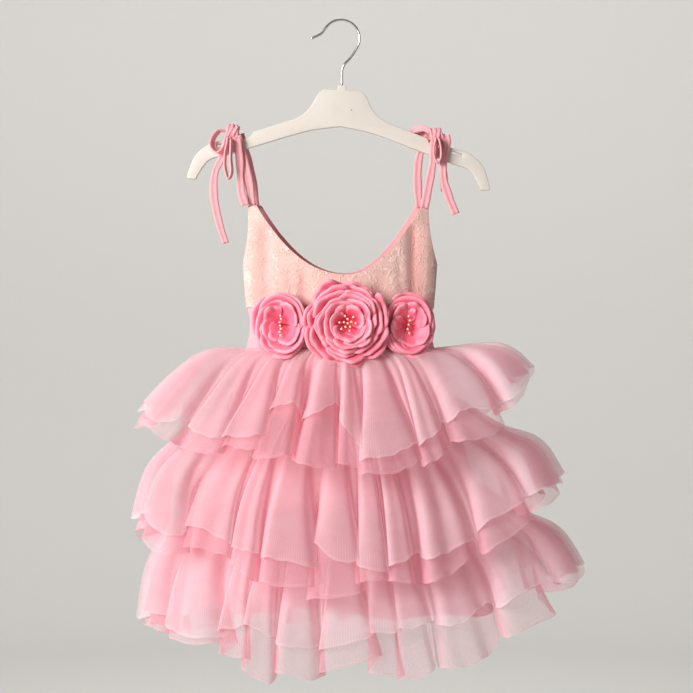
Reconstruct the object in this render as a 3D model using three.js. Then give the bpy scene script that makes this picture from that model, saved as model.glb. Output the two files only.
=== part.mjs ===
// A toddler's party dress on a child's hanger: a lace bodice with tied shoulder straps, a jersey waistband
// with three fabric flowers, and a skirt of three gathered tulle tiers over a base skirt.
// Millimetres, +Z up, the front faces -Y, and the origin is the inside top of the hanger's hook.
import * as THREE from "three";

// Thickness of each cloth, and the gap kept between pieces that are sewn to or lie on each other.
const LACE = 1.2;
const LINING = 0.9;
const JERSEY = 1.4;
const BASE_CLOTH = 1.2;
const TULLE = 1.2;
const GAP = 0.4;
const SEAM_HALF_GAP = 0.25;

// Sections of the body of the dress, from the shoulder points down to the hem of the base skirt.
// width is half the width, and front and back are the depths on each side of the hanger's plane.
const BODY_RINGS = [
  { z: -186, width: 102, front: 17, back: 15 },
  { z: -230, width: 105, front: 22, back: 19 },
  { z: -258, width: 103, front: 23, back: 20 },
  { z: -285, width: 103, front: 25, back: 21 },
  { z: -302, width: 99.5, front: 26, back: 22 },
  { z: -316, width: 96, front: 27, back: 23 },
  { z: -334, width: 97, front: 28, back: 24 },
  { z: -346, width: 100, front: 29, back: 25 },
  { z: -450, width: 132, front: 45, back: 38 },
  { z: -628, width: 174, front: 68, back: 56 },
];
const UNDERARM_Z = -258;
const LACE_HEM_Z = -302;
const BAND_TOP_Z = -302.4;
const BAND_SEAM_Z = -345.6;
const BASE_TOP_Z = -346.2;
const BASE_HEM_Z = -628;

// The cut of each bodice panel. side is the way it faces along Y. The neckline falls from its two shoulder
// points to one low point, and each half is a power curve of its reach.
const PANELS = {
  front: {
    side: -1,
    low: { x: 8.5, z: -269.5 },
    left: { outer: -97, inner: -88, z: -196, power: 2.2 },
    right: { outer: 93.5, inner: 85, z: -199, power: 1.8 },
    folds: [
      { x: -80, width: 8, depth: 4.5, from: -205, to: -300 },
      { x: -38, width: 7, depth: 2.4, from: -255, to: -302 },
      { x: 42, width: 8, depth: 1.8, from: -262, to: -302 },
      { x: 78, width: 7, depth: 5, from: -205, to: -302 },
    ],
  },
  back: {
    side: 1,
    low: { x: 6.5, z: -266.5 },
    left: { outer: -95, inner: -84, z: -195, power: 2.1 },
    right: { outer: 89.5, inner: 78.5, z: -194, power: 1.8 },
    folds: [
      { x: -70, width: 9, depth: 3, from: -225, to: -302 },
      { x: 5, width: 10, depth: 2, from: -262, to: -302 },
      { x: 72, width: 8, depth: 3.5, from: -215, to: -302 },
    ],
  },
};
const ARMHOLE_INSET = 2.5;
const PANEL_ROWS = 5;
const ARMHOLE_STEPS = 3;
const NECK_STEPS = 12;

// Tiers of the skirt. Each row is a section of the upper layer, seam to hem: half widths to the left and
// right, depths to the front and back, and the height at each of those four places. fold is half the height
// of a wave. Each lift raises the hem by amount, count times round. lowerReach is the lower layer's length,
// where the upper's is 1.
const TIER_COLUMNS = ["left", "right", "front", "back", "zLeft", "zRight", "zFront", "zBack", "fold"];
const TIERS = [
  {
    name: "tier_1",
    folds: 22,
    lowerReach: 1.1,
    sections: tierSections([
      [101, 101, 30, 26, -347, -347, -347, -347, 0],
      [138, 142, 41, 36, -349, -344, -367, -368, 2.1],
      [171, 172, 72, 56, -371, -350, -412, -414, 8],
      [205, 196, 106, 82, -407, -376, -456, -460, 12],
    ]),
    lifts: [
      { count: 3, amount: 6, turn: 0.6 },
      { count: 7, amount: 4, turn: 2.1 },
    ],
  },
  {
    name: "tier_2",
    folds: 23,
    lowerReach: 1.1,
    sections: tierSections([
      [122, 117, 42, 36, -413, -396, -420, -420, 0],
      [162, 168, 58, 48, -436, -430, -462, -463, 3],
      [196, 205, 88, 69, -468, -448, -516, -518, 8],
      [211, 227, 124, 96, -525, -487, -566, -570, 12],
    ]),
    lifts: [
      { count: 3, amount: 5, turn: 2.4 },
      { count: 8, amount: 4, turn: 0.5 },
    ],
  },
  {
    name: "tier_3",
    folds: 24,
    lowerReach: 1.1,
    sections: tierSections([
      [148, 143, 55, 46, -509, -488, -513, -513, 0],
      [176, 190, 68, 56, -535, -519, -550, -551, 3],
      [196, 226, 93, 72, -578, -538, -597, -599, 7],
      [201, 248, 133, 102, -632, -574, -634, -637, 12],
    ]),
    lifts: [
      { count: 3, amount: 5, turn: 4.1 },
      { count: 9, amount: 4, turn: 1.3 },
    ],
  },
];
// The two layers of a tier share its folds. The lower one lies inside the upper, by atSeam and then by atHem.
const LAYERS = [
  { name: "upper", atSeam: 0, atHem: 0 },
  { name: "lower", atSeam: TULLE + 2 * GAP, atHem: 9 },
];
// How far the seams of the tiers stand off the body.
const SEAM_CLEARANCE = TULLE + 3 * GAP;
// Points round each fold, and how far its crest leans over its flanks. OVAL_SPACING sets the folds evenly
// round the oval, FOLD_SPACING makes them wide here and narrow there, and a wider fold is also a deeper one.
const STEPS_PER_FOLD = 5;
const CREST_FULLNESS = 0.3;
const OVAL_SPACING = [{ count: 2, amount: 0.2, turn: 0.15 }];
const FOLD_SPACING = [
  { count: 5, amount: 0.045, turn: 2.2 },
  { count: 9, amount: 0.014, turn: 4.0 },
];
const DEPTH_WAVES = [
  { count: 3, amount: 0.07, turn: 1.1 },
  { count: 7, amount: 0.06, turn: 3.0 },
];

// Shoulder ties. Points run from the dress or the knot outwards, and across is the way the band's width lies.
const STRAP = { width: 8.5, thickness: 1.6 };
const BOW = { width: 8, thickness: 1.4 };
const ALONG_X = [1, 0, 0];
const ALONG_Y = [0, 1, 0];
const KNOTS = {
  left: { at: [-113.5, -1.5, -118.5], radii: [7.5, 7, 6.3], tilt: 0.25 },
  right: { at: [102, -1.5, -121.8], radii: [8, 7, 6.5], tilt: -0.45 },
};
const TIES = [
  {
    name: "strap_front_left",
    band: STRAP,
    across: ALONG_X,
    points: [
      [-92.5, -8.2, -195.2],
      [-97.5, -6.4, -165],
      [-102.5, -5, -143],
      [-106, -4.9, -129],
      [-108.5, -7.2, -123],
    ],
  },
  {
    name: "strap_back_left",
    band: STRAP,
    across: ALONG_X,
    points: [
      [-89.5, 7.4, -194],
      [-94, 6.2, -165],
      [-99.5, 5, -141],
      [-103.5, 5, -127],
      [-106.3, 6, -119.5],
    ],
  },
  {
    name: "strap_front_right",
    band: STRAP,
    across: ALONG_X,
    points: [
      [89.2, -8.6, -198.2],
      [93.5, -6.6, -176],
      [98, -5, -152],
      [99.2, -4.9, -136],
      [100, -7.4, -128.3],
    ],
  },
  {
    name: "strap_back_right",
    band: STRAP,
    across: ALONG_X,
    points: [
      [84, 7.6, -193.2],
      [82.5, 6.4, -172],
      [83.5, 5, -148],
      [88.8, 5, -130],
      [94.6, 5.2, -122],
    ],
  },
  {
    name: "bow_loop_left_outer",
    band: BOW,
    across: [0.55, 0.85, 0],
    points: [
      [-121.5, -4, -117],
      [-127.5, -6, -117.5],
      [-133.5, -8, -125],
      [-134.5, -9, -134],
      [-129, -10, -140.5],
      [-122.5, -10.3, -136],
      [-119.4, -9.8, -127],
    ],
  },
  {
    name: "bow_loop_left_hanging",
    band: BOW,
    across: [0.2, 0.98, 0],
    points: [
      [-117.4, -12.8, -125.5],
      [-120.4, -13.4, -142],
      [-120.8, -13.4, -156],
      [-117, -13.8, -168.5],
      [-114, -13.8, -163],
      [-114.8, -13.5, -146],
      [-114, -13.2, -126.8],
    ],
  },
  {
    name: "bow_tail_left_outer",
    band: BOW,
    across: ALONG_X,
    points: [
      [-120.5, -5.2, -128],
      [-125, -5.2, -146],
      [-131.5, -6, -160],
      [-133.5, -6.5, -180],
      [-131, -7, -199],
      [-126.8, -7, -217],
      [-120.5, -7, -236],
    ],
  },
  {
    name: "bow_tail_left_inner",
    band: BOW,
    across: ALONG_X,
    points: [
      [-108.6, -9.8, -126],
      [-106, -8.6, -146],
      [-105, -8.8, -168],
      [-103.8, -11, -183],
      [-99.5, -11, -196],
    ],
  },
  {
    name: "bow_loop_right_back",
    band: { width: 6, thickness: 1.4 },
    across: [0, 0.3, 0.95],
    points: [
      [95.6, -3.5, -117],
      [88.5, 0, -113.8],
      [81, 5, -114],
      [75.5, 10.5, -117.5],
      [79, 14, -119.5],
      [87, 12, -118.5],
      [96.6, 6, -118.6],
    ],
  },
  {
    name: "bow_loop_right_hanging",
    band: BOW,
    across: ALONG_Y,
    points: [
      [100.8, -12.8, -126],
      [98.8, -11.8, -137],
      [99.8, -11.8, -147.5],
      [103, -11.8, -151.5],
      [106, -11.8, -146.5],
      [106.2, -11.8, -136],
      [104, -12.8, -126],
    ],
  },
  {
    name: "bow_tail_right_front",
    band: BOW,
    across: ALONG_X,
    points: [
      [112, -6.6, -121.5],
      [113, -5.8, -131],
      [109.5, -5.6, -150],
      [109.8, -7, -169],
      [115, -8, -187],
      [122.5, -8, -205],
    ],
  },
  {
    name: "bow_tail_right_back",
    band: BOW,
    across: ALONG_X,
    points: [
      [107.5, 6, -119.5],
      [109, 5.8, -131],
      [109.5, 6, -150],
      [110.5, 6.5, -166],
      [112, 7, -180],
    ],
  },
];
const RIBBON_STEPS_PER_SPAN = 2;

// Flowers on the waistband: how far each stands out of it, and its whorls from the outermost in. radius and
// rise are those of the whorl's rim, and petals is how many it has. squash narrows a flower sideways.
const WHORL_CLOTH = 1.7;
const WHORL_STEP = 2.1;
const FLOWERS = [
  {
    name: "flower_centre",
    x: 7.4,
    z: -320,
    squash: 1,
    turn: 0,
    whorls: [
      { radius: 43, rise: 17, petals: 6 },
      { radius: 38, rise: 20, petals: 6 },
      { radius: 32.5, rise: 22, petals: 6 },
      { radius: 27, rise: 23.5, petals: 5 },
      { radius: 21.5, rise: 24.5, petals: 5 },
      { radius: 15.5, rise: 25, petals: 4 },
    ],
  },
  {
    name: "flower_left",
    x: -59.5,
    z: -322.5,
    squash: 0.82,
    turn: -8,
    whorls: [
      { radius: 34, rise: 15, petals: 5 },
      { radius: 29.5, rise: 17.5, petals: 5 },
      { radius: 22, rise: 18, petals: 4 },
    ],
  },
  {
    name: "flower_right",
    x: 71.5,
    z: -322,
    squash: 0.8,
    turn: 8,
    whorls: [
      { radius: 33, rise: 15, petals: 5 },
      { radius: 28.5, rise: 17.5, petals: 5 },
      { radius: 21, rise: 18, petals: 4 },
    ],
  },
];

// The hanger, drawn in its own plane from the foot of its collar, and hung a little lower on the right.
const HANGER = {
  thickness: 7,
  collar: { radius: 4.5, height: 5 },
  foot: { x: 2.1, z: -73.6 },
  tilt: (2.2 * Math.PI) / 180,
  notch: { from: 95, to: 119, depth: 5 },
  slit: { from: 121, to: 135, height: 3, below: 4 },
};
// The right half of the outline: neck and upper edge of the arm, the drooping tip, and the lower edge.
const HANGER_NECK = [
  [20, 0],
  [26.5, 7],
  [32, 18],
  [43.5, 29.5],
  [66, 38.5],
  [92, 47.5],
];
const HANGER_TIP = [
  [122, 58.5],
  [139, 62],
  [152.5, 74.5],
  [160, 95],
];
const HANGER_TIP_FOOT = { outer: [160, 100], inner: [151, 100] };
const HANGER_LOWER = [
  [149, 95],
  [138, 79.5],
  [118.5, 73],
  [79.5, 59.5],
  [32, 44],
  [0, 38.5],
];
const HOOK = {
  wire: 1.4,
  radius: 19.8,
  centreX: 1,
  shankTop: -49,
  shankFoot: -68.3,
  lipAngle: 168,
  lipEnd: [-30.5, -18.8],
};

const LACE_FINISH = new THREE.MeshStandardMaterial({ color: 0xf3ded3, roughness: 0.85, metalness: 0 });
const LINING_FINISH = new THREE.MeshStandardMaterial({ color: 0xeab0b4, roughness: 0.7, metalness: 0 });
const JERSEY_FINISH = new THREE.MeshStandardMaterial({ color: 0xf0b4ba, roughness: 0.8, metalness: 0 });
const TULLE_FINISH = new THREE.MeshStandardMaterial({ color: 0xf1b9c2, roughness: 0.8, metalness: 0 });
const SATIN_FINISH = new THREE.MeshStandardMaterial({ color: 0xf77f95, roughness: 0.45, metalness: 0 });
const PLASTIC_FINISH = new THREE.MeshStandardMaterial({ color: 0xf2ebe2, roughness: 0.4, metalness: 0 });
const WIRE_FINISH = new THREE.MeshStandardMaterial({ color: 0xc9c9c7, roughness: 0.2, metalness: 1 });

// A value between the rows of a table, on a smooth curve through them, and straight on past the last. at
// counts rows from 0.
function alongTable(rows, key, at) {
  const last = rows.length - 1;
  const i = Math.min(Math.floor(at), last - 1);
  const f = Math.min(at - i, 1);
  const past = Math.max(at - last, 0) * (rows[last][key] - rows[last - 1][key]);
  const a = rows[Math.max(i - 1, 0)][key];
  const b = rows[i][key];
  const c = rows[i + 1][key];
  const d = rows[Math.min(i + 2, last)][key];
  const slopeB = i > 0 ? (c - a) / 2 : c - b;
  const slopeC = i + 2 <= last ? (d - b) / 2 : c - b;
  const f2 = f * f;
  const f3 = f2 * f;
  const ends = b * (2 * f3 - 3 * f2 + 1) + c * (3 * f2 - 2 * f3);
  return ends + slopeB * (f3 - 2 * f2 + f) + slopeC * (f3 - f2) + past;
}

// The body's half width and depth at height z, in straight runs between the rings.
function bodySection(z, side) {
  let i = 0;
  while (i < BODY_RINGS.length - 2 && BODY_RINGS[i + 1].z > z) i += 1;
  const upper = BODY_RINGS[i];
  const lower = BODY_RINGS[i + 1];
  const f = (upper.z - z) / (upper.z - lower.z);
  const depth = side < 0 ? "front" : "back";
  return {
    width: THREE.MathUtils.lerp(upper.width, lower.width, f),
    depth: THREE.MathUtils.lerp(upper[depth], lower[depth], f),
  };
}

// The direction out of a grid of points. Rows run downwards and columns anticlockwise seen from above.
function gridNormal(grid, i, j, wraps) {
  const columns = grid[0].length;
  const up = grid[Math.max(i - 1, 0)][j];
  const down = grid[Math.min(i + 1, grid.length - 1)][j];
  const before = grid[i][wraps ? (j + columns - 1) % columns : Math.max(j - 1, 0)];
  const after = grid[i][wraps ? (j + 1) % columns : Math.min(j + 1, columns - 1)];
  return new THREE.Vector3()
    .subVectors(down, up)
    .cross(new THREE.Vector3().subVectors(after, before))
    .normalize();
}

// A grid moved along its own normals, outwards for a positive distance.
function moved(grid, distance, wraps) {
  return grid.map((row, i) =>
    row.map((p, j) => p.clone().addScaledVector(gridNormal(grid, i, j, wraps), distance)),
  );
}

// A closed wall between an outer and an inner grid of points.
function wall(outer, inner, wraps) {
  const rows = outer.length;
  const columns = outer[0].length;
  const at = (side, i, j) => (side * rows + i) * columns + (j % columns);
  const faces = [];
  const quad = (a, b, c, d) => faces.push(a, b, c, a, c, d);
  const spans = wraps ? columns : columns - 1;
  const foot = rows - 1;
  for (let j = 0; j < spans; j += 1) {
    for (let i = 0; i < foot; i += 1) {
      quad(at(0, i, j), at(0, i + 1, j), at(0, i + 1, j + 1), at(0, i, j + 1));
      quad(at(1, i, j), at(1, i, j + 1), at(1, i + 1, j + 1), at(1, i + 1, j));
    }
    quad(at(0, 0, j), at(0, 0, j + 1), at(1, 0, j + 1), at(1, 0, j));
    quad(at(0, foot, j), at(1, foot, j), at(1, foot, j + 1), at(0, foot, j + 1));
  }
  if (!wraps) {
    const end = columns - 1;
    for (let i = 0; i < foot; i += 1) {
      quad(at(0, i, 0), at(1, i, 0), at(1, i + 1, 0), at(0, i + 1, 0));
      quad(at(0, i, end), at(0, i + 1, end), at(1, i + 1, end), at(1, i, end));
    }
  }
  return solid([...outer.flat(), ...inner.flat()], faces);
}

function solid(points, faces) {
  const geometry = new THREE.BufferGeometry().setFromPoints(points);
  geometry.setIndex(faces);
  geometry.computeVertexNormals();
  return geometry;
}

function named(name, geometry, finish) {
  const mesh = new THREE.Mesh(geometry, finish);
  mesh.name = name;
  return mesh;
}

// The top edge of a panel from its left seam to its right one. below is the x that each point hangs to at
// the hem.
function topEdge(cut) {
  const hem = bodySection(LACE_HEM_Z, cut.side).width;
  const edge = [];
  const armhole = (tip, sign, f) => {
    const z = THREE.MathUtils.lerp(UNDERARM_Z, tip.z, f);
    const seam = sign * bodySection(UNDERARM_Z, cut.side).width;
    const x = THREE.MathUtils.lerp(seam, tip.outer, f) - sign * ARMHOLE_INSET * Math.sin(Math.PI * f);
    return { x, z, below: sign * hem * (1 - 0.1 * f) };
  };
  const neck = (tip, sign, f) => ({
    x: THREE.MathUtils.lerp(cut.low.x, tip.inner, f),
    z: cut.low.z + (tip.z - cut.low.z) * f ** tip.power,
    below: sign * hem * 0.8 * f,
  });
  for (let k = 0; k <= ARMHOLE_STEPS; k += 1) edge.push(armhole(cut.left, -1, k / ARMHOLE_STEPS));
  for (let k = NECK_STEPS / 2; k > 0; k -= 1) edge.push(neck(cut.left, -1, (2 * k) / NECK_STEPS));
  for (let k = 0; k <= NECK_STEPS / 2; k += 1) edge.push(neck(cut.right, 1, (2 * k) / NECK_STEPS));
  for (let k = ARMHOLE_STEPS; k >= 0; k -= 1) edge.push(armhole(cut.right, 1, k / ARMHOLE_STEPS));
  return edge;
}

// How far a panel is pressed in at x, z by its soft upright folds.
function foldDepth(cut, x, z) {
  return cut.folds.reduce((sum, fold) => {
    const along = THREE.MathUtils.smoothstep(fold.from - z, 0, 25);
    const across = ((x - fold.x) / fold.width) ** 2;
    return sum + fold.depth * along * Math.exp(-across);
  }, 0);
}

// The face of a bodice panel as a grid.
function panelGrid(cut) {
  const edge = topEdge(cut);
  const grid = [];
  for (let i = 0; i < PANEL_ROWS; i += 1) {
    const f = i / (PANEL_ROWS - 1);
    const row = edge.map((top) => {
      const z = THREE.MathUtils.lerp(top.z, LACE_HEM_Z, f);
      const { width, depth: fullDepth } = bodySection(z, cut.side);
      const x = THREE.MathUtils.clamp(THREE.MathUtils.lerp(top.x, top.below, f), -width, width);
      const roundness = Math.sqrt(1 - (x / width) ** 2);
      const depth = (fullDepth - foldDepth(cut, x, z)) * roundness;
      return new THREE.Vector3(x, cut.side * (SEAM_HALF_GAP + Math.max(depth, 0)), z);
    });
    grid.push(cut.side < 0 ? row : row.reverse());
  }
  return grid;
}

// One cloth of a bodice panel, between two depths behind the panel's face. It stops at the side seam.
function panel(cut, from, to) {
  const face = panelGrid(cut);
  const [outer, inner] = [from, to].map((depth) => {
    const grid = moved(face, -depth, false);
    grid.flat().forEach((p) => {
      p.y = cut.side * Math.max(cut.side * p.y, SEAM_HALF_GAP);
    });
    return grid;
  });
  return wall(outer, inner, false);
}

// A smooth tube of the body between two heights, drawn in by inset.
function bodyTube(heights, inset, columns, thickness) {
  const grid = heights.map((z) => {
    const row = [];
    for (let j = 0; j < columns; j += 1) {
      const angle = (2 * Math.PI * j) / columns;
      const section = bodySection(z, Math.sin(angle));
      row.push(
        new THREE.Vector3(
          (section.width - inset) * Math.cos(angle),
          (section.depth - inset) * Math.sin(angle),
          z,
        ),
      );
    }
    return row;
  });
  return wall(grid, moved(grid, -thickness, true), true);
}

// The rows of a tier, each with its values under the names of the columns.
function tierSections(rows) {
  return rows.map((row) => Object.fromEntries(TIER_COLUMNS.map((column, i) => [column, row[i]])));
}

function waveSum(waves, angle) {
  return waves.reduce((sum, wave) => sum + wave.amount * Math.sin(wave.count * angle + wave.turn), 0);
}

// How wide a fold is at turn, set against an even one.
function foldWidth(turn) {
  return FOLD_SPACING.reduce((sum, w) => sum + w.amount * w.count * Math.cos(w.count * turn + w.turn), 1);
}

// A tier's surface before it is gathered into folds. t runs from 0 at the seam to 1 at the hem.
function tierPoint(tier, t, angle) {
  const at = t * (tier.sections.length - 1);
  const value = (key) => alongTable(tier.sections, key, at);
  const east = Math.cos(angle);
  const north = Math.sin(angle);
  const zSide = value(east > 0 ? "zRight" : "zLeft");
  const zFace = value(north > 0 ? "zBack" : "zFront");
  const level = THREE.MathUtils.lerp(zFace, zSide, east * east);
  return new THREE.Vector3(
    east * (value(east > 0 ? "right" : "left") + SEAM_CLEARANCE),
    north * (value(north > 0 ? "back" : "front") + SEAM_CLEARANCE),
    level + waveSum(tier.lifts, angle) * t * t,
  );
}

// A point of a gathered layer. turn goes once round, and the folds are spaced unevenly along it.
function ruffledPoint(tier, layer, t, turn) {
  const small = 0.01;
  const angle = turn + waveSum(OVAL_SPACING, turn) + waveSum(FOLD_SPACING, turn);
  const slope = (from, to) => to.sub(from).normalize();
  const along = slope(tierPoint(tier, t, angle - small), tierPoint(tier, t, angle + small));
  const down = slope(tierPoint(tier, Math.max(t - small, 0), angle), tierPoint(tier, t + small, angle));
  const out = new THREE.Vector3().crossVectors(down, along).normalize();
  const at = t * (tier.sections.length - 1);
  const height = alongTable(tier.sections, "fold", at) * foldWidth(turn) * (1 + waveSum(DEPTH_WAVES, turn));
  const phase = tier.folds * turn;
  return tierPoint(tier, t, angle)
    .addScaledVector(out, height * Math.cos(phase) - THREE.MathUtils.lerp(layer.atSeam, layer.atHem, t))
    .addScaledVector(along, height * CREST_FULLNESS * Math.sin(phase));
}

function ruffledLayer(tier, layer) {
  const columns = tier.folds * STEPS_PER_FOLD;
  const hem = layer.name === "lower" ? tier.lowerReach : 1;
  const last = tier.sections.length - 1;
  const grid = tier.sections.map((_, i) => {
    const t = i < last ? i / last : hem;
    const row = [];
    for (let j = 0; j < columns; j += 1) row.push(ruffledPoint(tier, layer, t, (2 * Math.PI * j) / columns));
    return row;
  });
  return wall(grid, moved(grid, -TULLE, true), true);
}

// A flat band of cloth along a smooth curve, with square ends.
function ribbon(tie) {
  const curve = new THREE.CatmullRomCurve3(tie.points.map((p) => new THREE.Vector3(...p)));
  const steps = (tie.points.length - 1) * RIBBON_STEPS_PER_SPAN;
  const across = new THREE.Vector3(...tie.across);
  const halfWidth = tie.band.width / 2;
  const halfThickness = tie.band.thickness / 2;
  const corners = [
    [-1, -1],
    [1, -1],
    [1, 1],
    [-1, 1],
  ];
  const points = [];
  for (let k = 0; k <= steps; k += 1) {
    const centre = curve.getPoint(k / steps);
    const tangent = curve.getTangent(k / steps);
    const wide = across.clone().addScaledVector(tangent, -across.dot(tangent)).normalize();
    const thick = new THREE.Vector3().crossVectors(tangent, wide);
    for (const [w, h] of corners) {
      points.push(
        centre
          .clone()
          .addScaledVector(wide, w * halfWidth)
          .addScaledVector(thick, h * halfThickness),
      );
    }
  }
  const faces = [0, 2, 1, 0, 3, 2];
  for (let k = 0; k < steps; k += 1) {
    for (let c = 0; c < 4; c += 1) {
      const a = 4 * k + c;
      const b = 4 * k + ((c + 1) % 4);
      faces.push(a, b, b + 4, a, b + 4, a + 4);
    }
  }
  const end = 4 * steps;
  faces.push(end, end + 1, end + 2, end, end + 2, end + 3);
  return solid(points, faces);
}

function knot(name, { at, radii, tilt }) {
  const geometry = new THREE.SphereGeometry(1, 10, 6).scale(...radii);
  const mesh = named(name, geometry, JERSEY_FINISH);
  mesh.position.set(...at);
  mesh.rotation.y = tilt;
  return mesh;
}

// One whorl of petals as a lobed cup, in the flower's own frame: +Z is its axis, and 0 its back.
function whorl({ radius, rise, petals }, index, squash) {
  const columns = petals * 4;
  const rings = [0.6, 1];
  const base = (index + 1) * WHORL_STEP;
  const turn = index * 1.1;
  const points = [new THREE.Vector3(0, 0, base), new THREE.Vector3(0, 0, base - WHORL_CLOTH)];
  for (const side of [0, WHORL_CLOTH]) {
    for (const share of rings) {
      for (let j = 0; j < columns; j += 1) {
        const angle = (2 * Math.PI * j) / columns;
        const lobe = Math.cos(petals * angle);
        const r = radius * share * (1 + 0.05 * share * (lobe - 1));
        const height = base + (rise - base) * share ** 1.5 + 0.5 * lobe * share * share - side;
        points.push(
          new THREE.Vector3(squash * r * Math.cos(angle + turn), r * Math.sin(angle + turn), height),
        );
      }
    }
  }
  const at = (side, ring, j) => 2 + (side * rings.length + ring) * columns + (j % columns);
  const rim = rings.length - 1;
  const faces = [];
  const quad = (a, b, c, d) => faces.push(a, b, c, a, c, d);
  for (let j = 0; j < columns; j += 1) {
    faces.push(0, at(0, 0, j), at(0, 0, j + 1));
    faces.push(1, at(1, 0, j + 1), at(1, 0, j));
    for (let ring = 0; ring < rim; ring += 1) {
      quad(at(0, ring, j), at(0, ring + 1, j), at(0, ring + 1, j + 1), at(0, ring, j + 1));
      quad(at(1, ring, j), at(1, ring, j + 1), at(1, ring + 1, j + 1), at(1, ring + 1, j));
    }
    quad(at(0, rim, j), at(1, rim, j), at(1, rim, j + 1), at(0, rim, j + 1));
  }
  return solid(points, faces);
}

// A flower stands on the front of the waistband, facing out of it.
function flower({ name, x, z, squash, turn, whorls }) {
  const group = new THREE.Group();
  const section = bodySection(z, -1);
  const surface = section.depth * Math.sqrt(1 - (x / section.width) ** 2);
  group.position.set(x, -surface + GAP / 2, z);
  group.rotation.set(Math.PI / 2, 0, 0);
  const facing = new THREE.Group();
  facing.rotation.y = (turn * Math.PI) / 180;
  whorls.forEach((rows, index) => {
    facing.add(named(`${name}_whorl_${index + 1}`, whorl(rows, index, squash), SATIN_FINISH));
  });
  group.add(facing);
  return group;
}

// Both halves of the hanger's outline, with a notch for a strap in each arm.
function hangerShape() {
  const { notch, collar } = HANGER;
  const half = [
    ...new THREE.SplineCurve(HANGER_NECK.map((p) => new THREE.Vector2(...p))).getPoints(12),
    new THREE.Vector2(notch.from, 48.5 + notch.depth),
    new THREE.Vector2(notch.to, 57 + notch.depth),
    ...new THREE.SplineCurve(HANGER_TIP.map((p) => new THREE.Vector2(...p))).getPoints(9),
    new THREE.Vector2(...HANGER_TIP_FOOT.outer),
    new THREE.Vector2(...HANGER_TIP_FOOT.inner),
    ...new THREE.SplineCurve(HANGER_LOWER.map((p) => new THREE.Vector2(...p))).getPoints(12),
  ];
  half.unshift(new THREE.Vector2(collar.radius, -collar.height), new THREE.Vector2(collar.radius, 0));
  const mirrored = half
    .slice(0, -1)
    .reverse()
    .map((p) => new THREE.Vector2(-p.x, p.y));
  const anticlockwise = [...half, ...mirrored].map((p) => new THREE.Vector2(p.x, -p.y)).reverse();
  const shape = new THREE.Shape(anticlockwise);
  shape.holes = [1, -1].map(slitPath);
  return shape;
}

// The narrow slit beyond the notch of one arm.
function slitPath(sign) {
  const { from, to, height, below } = HANGER.slit;
  const top = (x) => -(58.5 + (x - 122) * 0.21 + below);
  const corners = [
    [from, top(from)],
    [to, top(to)],
    [to, top(to) - height],
    [from, top(from) - height],
  ];
  return new THREE.Path(corners.map(([x, z]) => new THREE.Vector2(sign * x, z)));
}

function hanger() {
  const { thickness, foot, tilt } = HANGER;
  const plate = new THREE.ExtrudeGeometry(hangerShape(), { depth: thickness, bevelEnabled: false });
  plate.translate(0, 0, -thickness / 2).rotateX(Math.PI / 2);
  const mesh = named("hanger_arms", plate, PLASTIC_FINISH);
  mesh.position.set(foot.x, 0, foot.z);
  mesh.rotation.y = tilt;
  return mesh;
}

// The hook's wire: up the shank, out to a round crook, and a short lip at its open end.
function hook() {
  const { wire, radius, centreX, shankTop, shankFoot, lipAngle, lipEnd } = HOOK;
  const middle = wire - radius;
  const points = [
    [HANGER.foot.x, shankFoot],
    [HANGER.foot.x, shankTop - 8],
    [HANGER.foot.x + 1, shankTop],
    [HANGER.foot.x + 9, shankTop + 11],
  ];
  for (let angle = -25; angle <= lipAngle; angle += 24) {
    const a = (angle * Math.PI) / 180;
    points.push([centreX + radius * Math.cos(a), middle + radius * Math.sin(a)]);
  }
  points.push([-21.5, -12.5], lipEnd);
  const path = new THREE.CatmullRomCurve3(points.map(([x, z]) => new THREE.Vector3(x, 0, z)));
  const section = new THREE.Shape();
  section.absarc(0, 0, wire, 0, 2 * Math.PI);
  const geometry = new THREE.ExtrudeGeometry(section, {
    steps: 32,
    curveSegments: 4,
    bevelEnabled: false,
    extrudePath: path,
  });
  return named("hanger_hook", geometry, WIRE_FINISH);
}

const dress = new THREE.Group();
for (const [side, cut] of Object.entries(PANELS)) {
  dress.add(named(`bodice_${side}`, panel(cut, 0, LACE), LACE_FINISH));
  dress.add(named(`lining_${side}`, panel(cut, LACE + GAP, LACE + GAP + LINING), LINING_FINISH));
}
dress.add(
  named(
    "waistband",
    bodyTube([BAND_TOP_Z, -325, BAND_SEAM_Z], GAP, 40, JERSEY),
    JERSEY_FINISH,
  ),
  named("base_skirt", bodyTube([BASE_TOP_Z, -450, BASE_HEM_Z], GAP, 40, BASE_CLOTH), LINING_FINISH),
);
for (const tier of TIERS) {
  for (const layer of LAYERS) {
    dress.add(named(`${tier.name}_${layer.name}`, ruffledLayer(tier, layer), TULLE_FINISH));
  }
}
for (const tie of TIES) dress.add(named(tie.name, ribbon(tie), JERSEY_FINISH));
for (const [side, placed] of Object.entries(KNOTS)) dress.add(knot(`bow_knot_${side}`, placed));
for (const each of FLOWERS) dress.add(flower(each));
dress.add(hanger(), hook());

export default dress;
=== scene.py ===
"""A toddler's party dress on a child's hanger: the visual model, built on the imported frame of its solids.

Lengths in the tables are millimetres in the frame's own axes: +Z up, the front faces -Y, and the origin is
the inside top of the hanger's hook. Every mesh is built in millimetres and stored in metres.
"""

import math
from typing import NamedTuple

import bmesh
import bpy
import numpy as np
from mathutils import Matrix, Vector
from mathutils.geometry import tessellate_polygon


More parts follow.
